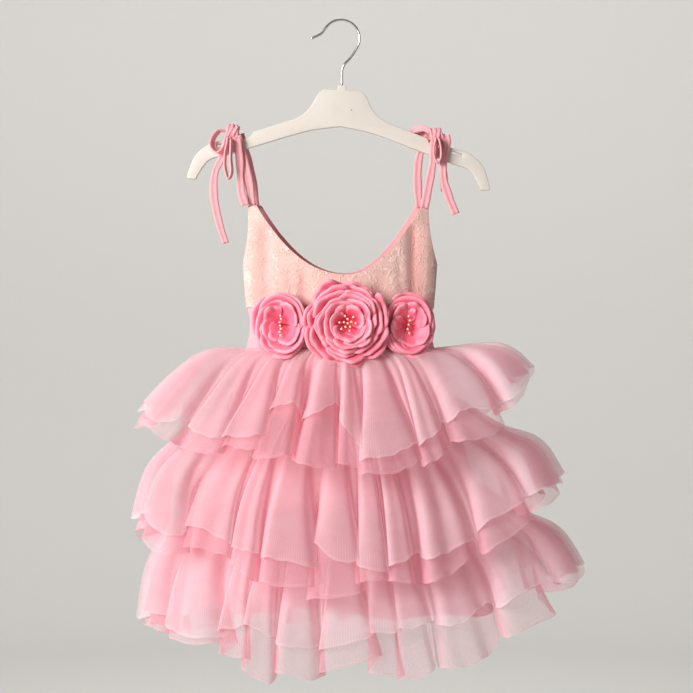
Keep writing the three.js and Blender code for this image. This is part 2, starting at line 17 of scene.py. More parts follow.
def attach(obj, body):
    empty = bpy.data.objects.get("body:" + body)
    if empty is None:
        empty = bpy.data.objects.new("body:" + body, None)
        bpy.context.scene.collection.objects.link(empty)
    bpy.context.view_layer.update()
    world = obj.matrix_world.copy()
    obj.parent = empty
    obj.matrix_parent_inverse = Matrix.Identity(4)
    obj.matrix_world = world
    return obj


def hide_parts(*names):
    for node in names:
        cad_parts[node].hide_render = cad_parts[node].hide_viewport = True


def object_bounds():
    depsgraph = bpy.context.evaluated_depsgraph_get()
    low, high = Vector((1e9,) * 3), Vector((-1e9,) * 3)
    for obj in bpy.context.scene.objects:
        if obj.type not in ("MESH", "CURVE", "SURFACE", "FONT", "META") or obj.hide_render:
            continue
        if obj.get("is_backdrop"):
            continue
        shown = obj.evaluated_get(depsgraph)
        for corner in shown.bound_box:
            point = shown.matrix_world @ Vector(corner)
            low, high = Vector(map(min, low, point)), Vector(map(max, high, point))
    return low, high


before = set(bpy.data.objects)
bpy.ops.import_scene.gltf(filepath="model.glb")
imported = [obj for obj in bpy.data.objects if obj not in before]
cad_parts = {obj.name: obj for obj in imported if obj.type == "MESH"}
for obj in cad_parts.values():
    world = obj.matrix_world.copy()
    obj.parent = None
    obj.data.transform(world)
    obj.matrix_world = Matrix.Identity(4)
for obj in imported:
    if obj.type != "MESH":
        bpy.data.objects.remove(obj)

bl_info = {
    "name": "Toddler Party Dress",
    "version": (1, 0, 0),
    "blender": (4, 5, 0),
    "location": "View3D > Sidebar > Dress",
    "description": "Builds a lace and tulle party dress on a child's hanger",
    "category": "Add Mesh",
}

CAD_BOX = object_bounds()
MM = 0.001
TAU = 2 * math.pi


def srgb(*values):
    """A linear colour from the 0 to 255 values of a screen."""
    shares = (v / 255 for v in values)
    return tuple(v / 12.92 if v <= 0.04045 else ((v + 0.055) / 1.055) ** 2.4 for v in shares)


# Tables of the garment

LACE = 1.2
LINING = 0.9
JERSEY = 1.4
TULLE = 1.2
GAP = 0.4


class Ring(NamedTuple):
    """A section of the body of the dress: half its width, and its depths from the hanger's plane."""

    z: float
    width: float
    front: float
    back: float


BODY_RINGS = (
    Ring(z=-186, width=102, front=17, back=15),
    Ring(z=-230, width=105, front=22, back=19),
    Ring(z=-258, width=103, front=23, back=20),
    Ring(z=-285, width=103, front=25, back=21),
    Ring(z=-302, width=99.5, front=26, back=22),
    Ring(z=-316, width=96, front=27, back=23),
    Ring(z=-334, width=97, front=28, back=24),
    Ring(z=-346, width=100, front=29, back=25),
    Ring(z=-450, width=132, front=45, back=38),
    Ring(z=-628, width=174, front=68, back=56),
)
UNDERARM_Z = -258
LACE_HEM_Z = -302
BAND_TOP_Z = -302.4
BAND_SEAM_Z = -345.6
BASE_TOP_Z = -346.2
BASE_HEM_Z = -628


class Shoulder(NamedTuple):
    """The top of one half of a panel, and how steeply the neckline climbs to it."""

    outer: float
    inner: float
    z: float
    power: float


class Fold(NamedTuple):
    """A soft upright trough in a bodice panel."""

    x: float
    width: float
    depth: float
    top: float
    lean: float = 0


class Panel(NamedTuple):
    """The cut of one bodice panel. side is the way that it faces along Y."""

    side: int
    low_x: float
    low_z: float
    left: Shoulder
    right: Shoulder
    folds: tuple
    creases: tuple


PANELS = {
    "front": Panel(
        side=-1,
        low_x=8.5,
        low_z=-269.5,
        left=Shoulder(outer=-97, inner=-88, z=-196, power=2.2),
        right=Shoulder(outer=93.5, inner=85, z=-199, power=1.8),
        folds=(
            Fold(x=-80, width=8, depth=4.5, top=-205),
            Fold(x=-38, width=7, depth=2.4, top=-255),
            Fold(x=42, width=8, depth=1.8, top=-262),
            Fold(x=78, width=7, depth=5, top=-205),
        ),
        creases=(
            Fold(x=-91, width=3.2, depth=1.0, top=-240, lean=0.05),
            Fold(x=-70, width=3.6, depth=0.9, top=-262, lean=-0.12),
            Fold(x=-55, width=4.5, depth=1.1, top=-252, lean=0.1),
            Fold(x=-22, width=4.0, depth=0.7, top=-274, lean=0.2),
            Fold(x=24, width=4.2, depth=0.8, top=-272, lean=-0.15),
            Fold(x=60, width=4.0, depth=1.2, top=-240, lean=0.12),
            Fold(x=88, width=3.0, depth=0.9, top=-246, lean=-0.05),
        ),
    ),
    "back": Panel(
        side=1,
        low_x=6.5,
        low_z=-266.5,
        left=Shoulder(outer=-95, inner=-84, z=-195, power=2.1),
        right=Shoulder(outer=89.5, inner=81, z=-194, power=1.85),
        folds=(
            Fold(x=-70, width=9, depth=3, top=-225),
            Fold(x=5, width=10, depth=2, top=-262),
            Fold(x=72, width=8, depth=3.5, top=-215),
        ),
        creases=(
            Fold(x=-86, width=3.4, depth=0.9, top=-236, lean=0.08),
            Fold(x=-48, width=4.4, depth=1.1, top=-250, lean=-0.1),
            Fold(x=-20, width=3.8, depth=0.8, top=-272, lean=0.12),
            Fold(x=33, width=4.6, depth=1.0, top=-266, lean=-0.14),
            Fold(x=54, width=4.0, depth=1.0, top=-246, lean=0.1),
            Fold(x=85, width=3.2, depth=0.8, top=-240, lean=-0.06),
        ),
    ),
}
ARMHOLE_INSET = 2.5


class Section(NamedTuple):
    """A section of a tier: half widths, depths, the height at each of those four places, and half a wave."""

    left: float
    right: float
    front: float
    back: float
    z_left: float
    z_right: float
    z_front: float
    z_back: float
    fold: float


class Wave(NamedTuple):
    """A slow wave round the skirt: how many times round, how much, and where it starts."""

    count: int
    amount: float
    turn: float


class Crease(NamedTuple):
    """A crease placed on a tier: its direction in degrees round the skirt, its run, width and depth."""

    at: float
    start: float
    end: float
    width: float
    depth: float


class Tier(NamedTuple):
    """A tier of two gathered layers. cut is the length round the hem of the strips that it is gathered from,
    and drop their reach from seam to hem. hems gives, for each layer, by what share of its drop the hem is
    short, or long where the share is below 0, by degrees round the skirt from the right side over the back.
    """

    name: str
    folds: int
    lower_reach: float
    cut: float
    drop: float
    sections: tuple
    lifts: tuple
    creases: tuple
    hems: dict


TIERS = (
    Tier(
        name="tier_1",
        folds=22,
        lower_reach=1.1,
        cut=1050,
        drop=140,
        sections=(
            Section(101, 101, 30, 26, -347, -347, -347, -347, 0),
            Section(138, 142, 41, 36, -349, -344, -367, -368, 2.1),
            Section(171, 172, 72, 56, -371, -350, -412, -414, 8),
            Section(205, 196, 106, 82, -407, -376, -456, -460, 12),
        ),
        lifts=(Wave(3, 6, 0.6), Wave(7, 4, 2.1)),
        creases=(
            Crease(at=196, start=0.1, end=1.0, width=3.0, depth=3.4),
            Crease(at=221, start=0.3, end=1.0, width=2.2, depth=-2.8),
            Crease(at=243, start=0.0, end=0.8, width=1.8, depth=3.0),
            Crease(at=259, start=0.2, end=1.0, width=2.4, depth=4.2),
            Crease(at=272, start=0.0, end=0.6, width=1.6, depth=-2.4),
            Crease(at=288, start=0.4, end=1.0, width=2.6, depth=3.6),
            Crease(at=306, start=0.1, end=0.9, width=2.0, depth=-3.0),
            Crease(at=331, start=0.3, end=1.0, width=3.2, depth=3.2),
            Crease(at=24, start=0.2, end=1.0, width=2.8, depth=3.0),
            Crease(at=58, start=0.0, end=0.8, width=2.0, depth=-2.6),
            Crease(at=97, start=0.3, end=1.0, width=2.6, depth=3.8),
            Crease(at=129, start=0.1, end=0.7, width=2.2, depth=2.8),
            Crease(at=161, start=0.2, end=1.0, width=3.0, depth=-3.2),
        ),
        hems={
            "upper": (
                (12, 0.02), (24, 0.15), (31, 0.03), (47, 0.0), (56, 0.22), (60, 0.3), (66, 0.06),
                (80, 0.0), (92, 0.09), (99, 0.28), (103, 0.3), (108, 0.02), (123, -0.02), (131, 0.12),
                (140, 0.0), (156, 0.03), (164, 0.2), (171, 0.02), (188, 0.0), (199, 0.1), (206, -0.02),
                (217, 0.08), (226, 0.03), (237, 0.02), (243, 0.06), (247, 0.2), (250, 0.32),
                (254, 0.34), (258, 0.26), (262, 0.24), (265, 0.33), (268, 0.42), (271, 0.32),
                (275, 0.02), (282, -0.03), (287, 0.05), (291, 0.02), (295, 0.0), (300, 0.03),
                (303, 0.13), (306, 0.04), (309, 0.1), (313, 0.14), (319, 0.05), (328, 0.0), (341, 0.06),
                (350, -0.02),
            ),
            "lower": (
                (20, 0.1), (40, 0.0), (63, 0.12), (84, -0.02), (110, 0.1), (128, 0.0), (152, 0.12),
                (176, 0.0), (196, 0.08), (222, 0.0), (240, 0.1), (249, 0.0), (256, 0.08), (263, 0.0),
                (272, 0.07), (284, 0.0), (290, 0.08), (297, -0.05), (304, 0.06), (316, 0.0),
                (335, 0.09),
            ),
        },
    ),
    Tier(
        name="tier_2",
        folds=23,
        lower_reach=1.1,
        cut=1300,
        drop=165,
        sections=(
            Section(122, 117, 42, 36, -413, -396, -420, -420, 0),
            Section(162, 168, 58, 48, -436, -430, -462, -463, 3),
            Section(196, 205, 88, 69, -468, -448, -516, -518, 8),
            Section(211, 227, 124, 96, -525, -487, -566, -570, 12),
        ),
        lifts=(Wave(3, 5, 2.4), Wave(8, 4, 0.5)),
        creases=(
            Crease(at=188, start=0.2, end=1.0, width=2.8, depth=3.2),
            Crease(at=214, start=0.4, end=1.0, width=2.4, depth=-3.4),
            Crease(at=233, start=0.2, end=0.9, width=2.0, depth=3.0),
            Crease(at=251, start=0.3, end=1.0, width=2.2, depth=-3.6),
            Crease(at=266, start=0.4, end=1.0, width=2.6, depth=4.4),
            Crease(at=281, start=0.2, end=0.8, width=1.8, depth=-2.6),
            Crease(at=299, start=0.4, end=1.0, width=2.4, depth=3.8),
            Crease(at=322, start=0.2, end=1.0, width=2.8, depth=-3.2),
            Crease(at=347, start=0.3, end=1.0, width=2.6, depth=3.0),
            Crease(at=38, start=0.2, end=1.0, width=3.0, depth=3.2),
            Crease(at=76, start=0.3, end=0.9, width=2.0, depth=-3.0),
            Crease(at=112, start=0.4, end=1.0, width=2.8, depth=3.6),
            Crease(at=147, start=0.2, end=1.0, width=2.4, depth=-2.8),
        ),
        hems={
            "upper": (
                (10, 0.03), (26, 0.12), (38, 0.0), (55, 0.02), (62, 0.24), (68, 0.05), (85, 0.0),
                (95, 0.14), (101, 0.02), (118, 0.0), (126, 0.2), (133, 0.04), (150, 0.0), (163, 0.12),
                (175, 0.0), (190, 0.02), (203, 0.1), (214, 0.0), (232, 0.09), (242, 0.02), (244, 0.08),
                (250, 0.02), (255, 0.09), (260, 0.02), (266, 0.27), (270, 0.0), (274, 0.2),
                (278, -0.02), (283, 0.0), (289, 0.09), (294, 0.02), (300, 0.07), (306, 0.0),
                (313, 0.09), (322, 0.02), (338, 0.07), (350, 0.0),
            ),
            "lower": (
                (15, 0.06), (42, 0.0), (70, 0.1), (98, 0.0), (130, 0.09), (160, 0.0), (185, 0.08),
                (218, 0.0), (236, 0.09), (248, 0.0), (258, 0.07), (268, -0.02), (280, 0.07), (292, 0.0),
                (303, 0.08), (320, 0.0), (344, 0.08),
            ),
        },
    ),
    Tier(
        name="tier_3",
        folds=24,
        lower_reach=1.1,
        cut=1300,
        drop=155,
        sections=(
            Section(148, 143, 55, 46, -509, -488, -513, -513, 0),
            Section(176, 190, 68, 56, -535, -519, -550, -551, 3),
            Section(196, 226, 93, 72, -578, -538, -597, -599, 7),
            Section(201, 248, 133, 102, -632, -574, -634, -637, 12),
        ),
        lifts=(Wave(3, 5, 4.1), Wave(9, 4, 1.3)),
        creases=(
            Crease(at=192, start=0.3, end=1.0, width=2.6, depth=3.0),
            Crease(at=209, start=0.4, end=1.0, width=2.2, depth=-3.0),
            Crease(at=229, start=0.3, end=1.0, width=2.6, depth=3.6),
            Crease(at=247, start=0.2, end=0.9, width=2.0, depth=-3.2),
            Crease(at=262, start=0.4, end=1.0, width=2.4, depth=3.8),
            Crease(at=277, start=0.3, end=1.0, width=2.4, depth=4.6),
            Crease(at=293, start=0.4, end=1.0, width=2.0, depth=-3.4),
            Crease(at=311, start=0.3, end=1.0, width=2.8, depth=3.4),
            Crease(at=336, start=0.2, end=1.0, width=3.0, depth=-3.0),
            Crease(at=14, start=0.3, end=1.0, width=2.6, depth=3.2),
            Crease(at=51, start=0.4, end=1.0, width=2.4, depth=-3.0),
            Crease(at=88, start=0.3, end=1.0, width=2.6, depth=3.4),
            Crease(at=124, start=0.2, end=0.9, width=2.2, depth=3.0),
            Crease(at=155, start=0.4, end=1.0, width=2.8, depth=-3.2),
        ),
        hems={
            "upper": (
                (14, 0.0), (30, 0.1), (44, 0.0), (66, 0.03), (72, 0.18), (78, 0.02), (96, 0.0),
                (104, 0.13), (112, 0.0), (132, 0.02), (140, 0.16), (148, 0.0), (168, 0.07), (184, 0.0),
                (205, 0.05), (224, 0.02), (238, 0.04), (240, 0.12), (248, 0.07), (256, 0.0),
                (260, 0.05), (268, 0.0), (274, 0.02), (277, 0.12), (281, 0.0), (289, 0.06), (297, 0.0),
                (305, 0.09), (313, 0.0), (327, 0.07), (345, 0.0),
            ),
            "lower": (
                (12, 0.05), (35, 0.0), (60, 0.09), (88, 0.0), (118, 0.1), (146, 0.0), (172, 0.08),
                (204, 0.03), (226, 0.1), (236, 0.02), (241, 0.0), (247, -0.17), (251, -0.12),
                (255, -0.04), (264, -0.04), (271, 0.0), (277, 0.0), (281, -0.22), (288, -0.24),
                (291, -0.14), (294, -0.2), (302, -0.2), (307, -0.18), (310, -0.02), (315, -0.15),
                (326, -0.15), (333, -0.05), (340, 0.08),
            ),
        },
    ),
)


class Layer(NamedTuple):
    """One of the two layers of a tier, and how far inside the upper one it lies at its seam and its hem."""

    name: str
    at_seam: float
    at_hem: float


LAYERS = (
    Layer(name="upper", at_seam=0, at_hem=0),
    Layer(name="lower", at_seam=TULLE + 2 * GAP, at_hem=9),
)
SEAM_CLEARANCE = TULLE + 3 * GAP
CREST_FULLNESS = 0.4
CRISP_EDGE = 0.5
OVAL_SPACING = (Wave(2, 0.2, 0.15),)
FOLD_SPACING = (Wave(5, 0.045, 2.2), Wave(9, 0.014, 4.0))
DEPTH_WAVES = (Wave(3, 0.07, 1.1), Wave(7, 0.06, 3.0))
# Finer forms of the tulle, which its solids leave out. DRIFTS move the folds round by a share of a radian, so
# that some are wide and some narrow. FLUTES swell their crests at the hem until they lean over the valleys.
DRIFTS = ((3, 0.8), (7, 0.7), (11, 0.48), (17, 0.26))
FLUTES = 0.85
LEVEL_SHARE = 0.95
# How far down a layer reaches where its hem is long by its whole drop
LONG_DROP = 112
# Waves to one main fold, and their height at the hem
MINOR_FOLDS = ((2, 1.9, 0.7), (3, 1.2, 2.6))
# Degrees aside and share of each reading of a hem's table, which rounds its corners
HEM_SOFTENING = ((-2, 0.15), (-1, 0.22), (0, 0.26), (1, 0.22), (2, 0.15))
GATHERS_PER_FOLD = 5
GATHER_HEIGHT = 0.8
GATHER_REACH = 0.22
TIER_COLUMNS_PER_FOLD = 30
TIER_ROWS = 44


class Tie(NamedTuple):
    """A flat tie: its width and thickness, the way its width lies, and the points that it follows."""

    name: str
    width: float
    thickness: float
    across: tuple
    points: tuple


ALONG_X = (1, 0, 0)
ALONG_Y = (0, 1, 0)
TIES = (
    Tie(
        name="strap_front_left",
        width=8.5,
        thickness=1.6,
        across=ALONG_X,
        points=(
            (-92.5, -8.2, -195.2),
            (-97.5, -6.4, -165),
            (-102.5, -5, -143),
            (-106, -4.9, -129),
            (-108.5, -7.2, -123),
        ),
    ),
    Tie(
        name="strap_back_left",
        width=8.5,
        thickness=1.6,
        across=ALONG_X,
        points=(
            (-89.5, 7.4, -194),
            (-94, 6.2, -165),
            (-99.5, 5, -141),
            (-103.5, 5, -127),
            (-106.3, 6, -119.5),
        ),
    ),
    Tie(
        name="strap_front_right",
        width=8.5,
        thickness=1.6,
        across=ALONG_X,
        points=(
            (89.2, -8.6, -198.2),
            (93.5, -6.6, -176),
            (98, -5, -152),
            (99.2, -4.9, -136),
            (100, -7.4, -128.3),
        ),
    ),
    Tie(
        name="strap_back_right",
        width=8.5,
        thickness=1.6,
        across=ALONG_X,
        points=(
            (84, 7.6, -193.2),
            (82.5, 6.4, -172),
            (83.5, 5, -148),
            (88.8, 5, -130),
            (94.6, 5.2, -122),
        ),
    ),
    Tie(
        name="bow_loop_left_outer",
        width=8,
        thickness=1.4,
        across=(0.55, 0.85, 0),
        points=(
            (-121.5, -4, -117),
            (-127.5, -6, -117.5),
            (-133.5, -8, -125),
            (-134.5, -9, -134),
            (-129, -10, -140.5),
            (-122.5, -10.3, -136),
            (-119.4, -9.8, -127),
        ),
    ),
    Tie(
        name="bow_loop_left_hanging",
        width=8,
        thickness=1.4,
        across=(0.2, 0.98, 0),
        points=(
            (-117.4, -12.8, -125.5),
            (-120.4, -13.4, -142),
            (-120.8, -13.4, -156),
            (-117, -13.8, -168.5),
            (-114, -13.8, -163),
            (-114.8, -13.5, -146),
            (-114, -13.2, -126.8),
        ),
    ),
    Tie(
        name="bow_tail_left_outer",
        width=8,
        thickness=1.4,
        across=ALONG_X,
        points=(
            (-120.5, -5.2, -128),
            (-125, -5.2, -146),
            (-131.5, -6, -160),
            (-133.5, -6.5, -180),
            (-131, -7, -199),
            (-126.8, -7, -217),
            (-120.5, -7, -236),
        ),
    ),
    Tie(
        name="bow_tail_left_inner",
        width=8,
        thickness=1.4,
        across=ALONG_X,
        points=(
            (-108.6, -9.8, -126),
            (-106, -8.6, -146),
            (-105, -8.8, -168),
            (-103.8, -11, -183),
            (-99.5, -11, -196),
        ),
    ),
    Tie(
        name="bow_loop_right_back",
        width=6,
        thickness=1.4,
        across=(0, 0.3, 0.95),
        points=(
            (95.6, -3.5, -117),
            (88.5, 0, -113.8),
            (81, 5, -114),
            (75.5, 10.5, -117.5),
            (79, 14, -119.5),
            (87, 12, -118.5),
            (96.6, 6, -118.6),
        ),
    ),
    Tie(
        name="bow_loop_right_hanging",
        width=8,
        thickness=1.4,
        across=ALONG_Y,
        points=(
            (100.8, -12.8, -126),
            (98.8, -11.8, -137),
            (99.8, -11.8, -147.5),
            (103, -11.8, -151.5),
            (106, -11.8, -146.5),
            (106.2, -11.8, -136),
            (104, -12.8, -126),
        ),
    ),
    Tie(
        name="bow_tail_right_front",
        width=8,
        thickness=1.4,
        across=ALONG_X,
        points=(
            (112, -6.6, -121.5),
            (113, -5.8, -131),
            (109.5, -5.6, -150),
            (109.8, -7, -169),
            (115, -8, -187),
            (122.5, -8, -205),
        ),
    ),
    Tie(
        name="bow_tail_right_back",
        width=8,
        thickness=1.4,
        across=ALONG_X,
        points=(
            (107.5, 6, -119.5),
            (109, 5.8, -131),
            (109.5, 6, -150),
            (110.5, 6.5, -166),
            (112, 7, -180),
        ),
    ),
)
TIE_STEPS_PER_SPAN = 9
SEWN_IN = 4
# How much nearer to the hanger's plane a strap's sewn end lies, as a share
SEWN_DEPTH = 0.55
TIE_LEAST_WIDTH = 6.8


class Knot(NamedTuple):
    side: str
    at: tuple
    radii: tuple
    tilt: float


KNOTS = (
    Knot(side="left", at=(-113.5, -1.5, -118.5), radii=(7, 6.6, 7), tilt=0.12),
    Knot(side="right", at=(102, -1.5, -121.8), radii=(7.4, 6.6, 7), tilt=-0.3),
)


class Turn(NamedTuple):
    """A turn of the tie over a knot, in shares of the knot's radii."""

    x: float
    lean: float
    wide: float
    high: float


KNOT_TURNS = (
    Turn(x=-0.45, lean=0.12, wide=0.98, high=1.08),
    Turn(x=0.42, lean=-0.2, wide=0.92, high=1.0),
    Turn(x=0.05, lean=0.45, wide=1.08, high=0.86),
)


class Whorl(NamedTuple):
    """A ring of petals: the radius and forward rise of its rim, and how many petals it has."""

    radius: float
    rise: float
    petals: int


class Flower(NamedTuple):
    """A flower on the waistband. floor is the height that its petals spring from, cup how late they turn up,
    and deep how far out the painted shade at their root reaches.
    """

    name: str
    x: float
    z: float
    squash: float
    turn: float
    floor: float
    cup: float
    deep: float
    whorls: tuple


FLOWERS = (
    Flower(
        name="flower_centre",
        x=8.2,
        z=-321,
        squash=1,
        turn=0,
        floor=1.8,
        cup=3.0,
        deep=0.42,
        whorls=(
            Whorl(radius=43.5, rise=17, petals=7),
            Whorl(radius=39, rise=20, petals=7),
            Whorl(radius=34, rise=22, petals=6),
            Whorl(radius=29, rise=23.5, petals=6),
            Whorl(radius=23.5, rise=24.5, petals=5),
            Whorl(radius=17.5, rise=25, petals=5),
        ),
    ),
    Flower(
        name="flower_left",
        x=-59.5,
        z=-322.5,
        squash=0.87,
        turn=-8,
        floor=4.5,
        cup=2.6,
        deep=0.16,
        whorls=(
            Whorl(radius=34, rise=15, petals=5),
            Whorl(radius=29.5, rise=17.5, petals=3),
            Whorl(radius=22, rise=18, petals=0),
        ),
    ),
    Flower(
        name="flower_right",
        x=70,
        z=-322,
        squash=0.87,
        turn=8,
        floor=4.5,
        cup=2.6,
        deep=0.14,
        whorls=(
            Whorl(radius=33, rise=15, petals=5),
            Whorl(radius=28.5, rise=17.5, petals=3),
            Whorl(radius=21, rise=18, petals=0),
        ),
    ),
)
WHORL_STEP = 2.1


class Petal(NamedTuple):
    """A petal that stands out from its whorl: its direction and half width in degrees, reach and stand."""

    flower: str
    whorl: int
    at: float
    half: float
    reach: float
    stand: float


PETALS_BY_HAND = (
    Petal(flower="flower_centre", whorl=1, at=114, half=32, reach=1.06, stand=7),
    Petal(flower="flower_centre", whorl=2, at=205, half=30, reach=1.02, stand=-2),
    Petal(flower="flower_centre", whorl=3, at=40, half=26, reach=1.08, stand=-2),
    Petal(flower="flower_centre", whorl=6, at=268, half=62, reach=0.72, stand=-6),
    Petal(flower="flower_left", whorl=2, at=228, half=52, reach=1.0, stand=0),
    Petal(flower="flower_left", whorl=3, at=310, half=54, reach=1.08, stand=0),
    Petal(flower="flower_left", whorl=3, at=50, half=56, reach=1.0, stand=1),
    Petal(flower="flower_left", whorl=3, at=128, half=44, reach=0.92, stand=2),
    Petal(flower="flower_left", whorl=3, at=208, half=62, reach=1.12, stand=-1),
    Petal(flower="flower_left", whorl=3, at=212, half=50, reach=0.78, stand=-3),
    Petal(flower="flower_right", whorl=2, at=292, half=56, reach=1.0, stand=0),
    Petal(flower="flower_right", whorl=3, at=40, half=56, reach=1.04, stand=1),
    Petal(flower="flower_right", whorl=3, at=118, half=48, reach=0.96, stand=2),
    Petal(flower="flower_right", whorl=3, at=196, half=52, reach=1.0, stand=2.5),
    Petal(flower="flower_right", whorl=3, at=170, half=34, reach=0.78, stand=1),
    Petal(flower="flower_right", whorl=3, at=298, half=64, reach=1.15, stand=-1),
    Petal(flower="flower_right", whorl=3, at=62, half=30, reach=0.7, stand=0),
)
PETAL_CLOTH = 0.6
SEARED_BEAD = 0.9
PETAL_ROWS = 16
PETAL_COLUMNS = 26

HANGER_THICKNESS = 7
HANGER_FOOT = (2.1, -73.6)
HANGER_TILT = math.radians(2.2)
HANGER_ROUNDING = 0.8
HANGER_SHARP = math.radians(32)
# A small moulded dot on the front of the neck
HANGER_DOT = (12.1, -94.8)
COLLAR_RADIUS = 4.5
COLLAR_HEIGHT = 5
HANGER_NECK = ((20, 0), (26.5, 7), (32, 18), (43.5, 29.5), (66, 38.5), (92, 47.5))
HANGER_NOTCH = ((95, 53.5), (112.5, 59.6))
HANGER_TIP = ((115.5, 56), (137, 62), (152, 74.5), (160, 95))
HANGER_TIP_FOOT = ((160, 100), (151, 100))
HANGER_LOWER = ((149, 95), (138, 79.5), (118.5, 73), (79.5, 59.5), (32, 44), (0, 38.5))
SLIT = ((119, 59.8), (130, 63.2), (130, 65.6), (119, 62.6))

HOOK_WIRE = 1.25
HOOK_RADIUS = 19.8
HOOK_CENTRE_X = 1
HOOK_SHANK_TOP = -49
HOOK_SHANK_FOOT = -68.3
HOOK_LIP_ANGLE = 144
HOOK_LIP = ((-18.6, -12.2), (-23.4, -15.4), (-31, -18.7))

CAMERA_X = 6.9
CAMERA_Z = -345
CAMERA_DISTANCE = 1750
VIEW_WIDTH = 734.6
FLOOR_Z = -1150
STAGE_RADIUS = 3600
STAGE_CURVE = 900
STAGE_HEIGHT = 2600


class Lamp(NamedTuple):
    """A soft square light, with its power in watts and its place, aim and size in metres."""

    name: str
    power: float
    at: tuple
    aim: tuple
    size: tuple
    colour: tuple


MIDDLE = (0, 0, -0.35)
LAMPS = (
    Lamp("window", 81, (-1.65, -1.5, 0.35), MIDDLE, (1.0, 1.3), (1, 0.985, 0.97)),
    Lamp("fill", 1.2, (2.4, -2.2, 0.2), MIDDLE, (2.0, 2.0), (1, 0.96, 0.94)),
    Lamp("back", 8, (0.4, 2.4, 1.0), MIDDLE, (2.0, 1.4), (1, 0.98, 0.97)),
    Lamp("backdrop", 46, (0, 1.0, 1.6), (0, 3.6, -0.5), (2.4, 0.8), (1, 0.99, 0.98)),
)
SKY_COLOUR = (1, 0.99, 0.97, 1)
SKY_STRENGTH = 0.1


class DressColours(bpy.types.PropertyGroup):
    """Colours of the dress and its hanger."""

    tulle: bpy.props.FloatVectorProperty(name="Tulle", subtype="COLOR", size=3, default=srgb(247, 229, 234))
    # Also the painted shade in the fold valleys of the upper tulle
    tulle_deep: bpy.props.FloatVectorProperty(
        name="Tulle, lower layers", subtype="COLOR", size=3, default=srgb(251, 214, 224)
    )
    # Also the painted shade in the fold valleys of the lower tulle
    lining: bpy.props.FloatVectorProperty(
        name="Skirt lining", subtype="COLOR", size=3, default=srgb(246, 164, 178)
    )
    bodice_lining: bpy.props.FloatVectorProperty(
        name="Bodice lining", subtype="COLOR", size=3, default=srgb(236, 158, 162)
    )
    lace: bpy.props.FloatVectorProperty(name="Lace", subtype="COLOR", size=3, default=srgb(229, 195, 186))
    lace_ground: bpy.props.FloatVectorProperty(
        name="Lace ground", subtype="COLOR", size=3, default=srgb(226, 178, 170)
    )
    jersey: bpy.props.FloatVectorProperty(name="Jersey", subtype="COLOR", size=3, default=srgb(226, 148, 160))
    tie: bpy.props.FloatVectorProperty(name="Ties", subtype="COLOR", size=3, default=srgb(230, 140, 150))
    petal: bpy.props.FloatVectorProperty(name="Petal", subtype="COLOR", size=3, default=srgb(254, 114, 142))
    # Painted shade at the petals' roots
    petal_painted_shade: bpy.props.FloatVectorProperty(
        name="Petal, deep", subtype="COLOR", size=3, default=srgb(228, 46, 82)
    )
    # Painted highlight along the petals' rims
    petal_rim_highlight: bpy.props.FloatVectorProperty(
        name="Petal, painted rim highlight", subtype="COLOR", size=3, default=srgb(255, 158, 176)
    )
    plastic: bpy.props.FloatVectorProperty(
        name="Hanger", subtype="COLOR", size=3, default=srgb(213, 206, 197)
    )
    stage: bpy.props.FloatVectorProperty(name="Stage", subtype="COLOR", size=3, default=srgb(216, 215, 212))


class DressSizes(bpy.types.PropertyGroup):
    """Sizes that the look of the cloth depends on, in millimetres."""

    net_pitch: bpy.props.FloatProperty(name="Tulle net", default=1.3, min=0.8, max=4)
    motif: bpy.props.FloatProperty(name="Lace flower", default=15, min=8, max=40)
    rib: bpy.props.FloatProperty(name="Jersey rib", default=1.1, min=0.5, max=4)
    pearl: bpy.props.FloatProperty(name="Pearl", default=2.5, min=1.5, max=6)


def colours():
    return bpy.context.scene.dress_colours


def sizes():
    return bpy.context.scene.dress_sizes


# Shaders


class Sock:
    """A shader socket that takes part in arithmetic."""

    def __init__(self, shader, socket):
        self.shader = shader
        self.socket = socket

    def __add__(self, other):
        return self.shader.math("ADD", self, other)

    def __radd__(self, other):
        return self.shader.math("ADD", other, self)

    def __sub__(self, other):
        return self.shader.math("SUBTRACT", self, other)

    def __rsub__(self, other):
        return self.shader.math("SUBTRACT", other, self)

    def __mul__(self, other):
        return self.shader.math("MULTIPLY", self, other)

    def __rmul__(self, other):
        return self.shader.math("MULTIPLY", other, self)

    def __truediv__(self, other):
        return self.shader.math("DIVIDE", self, other)

    def __pow__(self, other):
        return self.shader.math("POWER", self, other)

    def __rpow__(self, other):
        return self.shader.math("POWER", other, self)

    def __abs__(self):
        return self.shader.math("ABSOLUTE", self)

    def wave(self):
        return self.shader.math("SINE", self)

    def least(self, other):
        return self.shader.math("MINIMUM", self, other)

    def most(self, other):
        return self.shader.math("MAXIMUM", self, other)

    def within(self):
        return self.shader.math("ADD", self, 0.0, clamp=True)

    def between(self, low, high):
        """0 below low, 1 above high, and a smooth step from one to the other."""
        return self.shader.node(
            "ShaderNodeMapRange",
            {"interpolation_type": "SMOOTHSTEP"},
            {"Value": self, "From Min": low, "From Max": high},
        )["Result"]

    def parts(self):
        split = self.shader.node("ShaderNodeSeparateXYZ", {}, {"Vector": self})
        return split["X"], split["Y"], split["Z"]


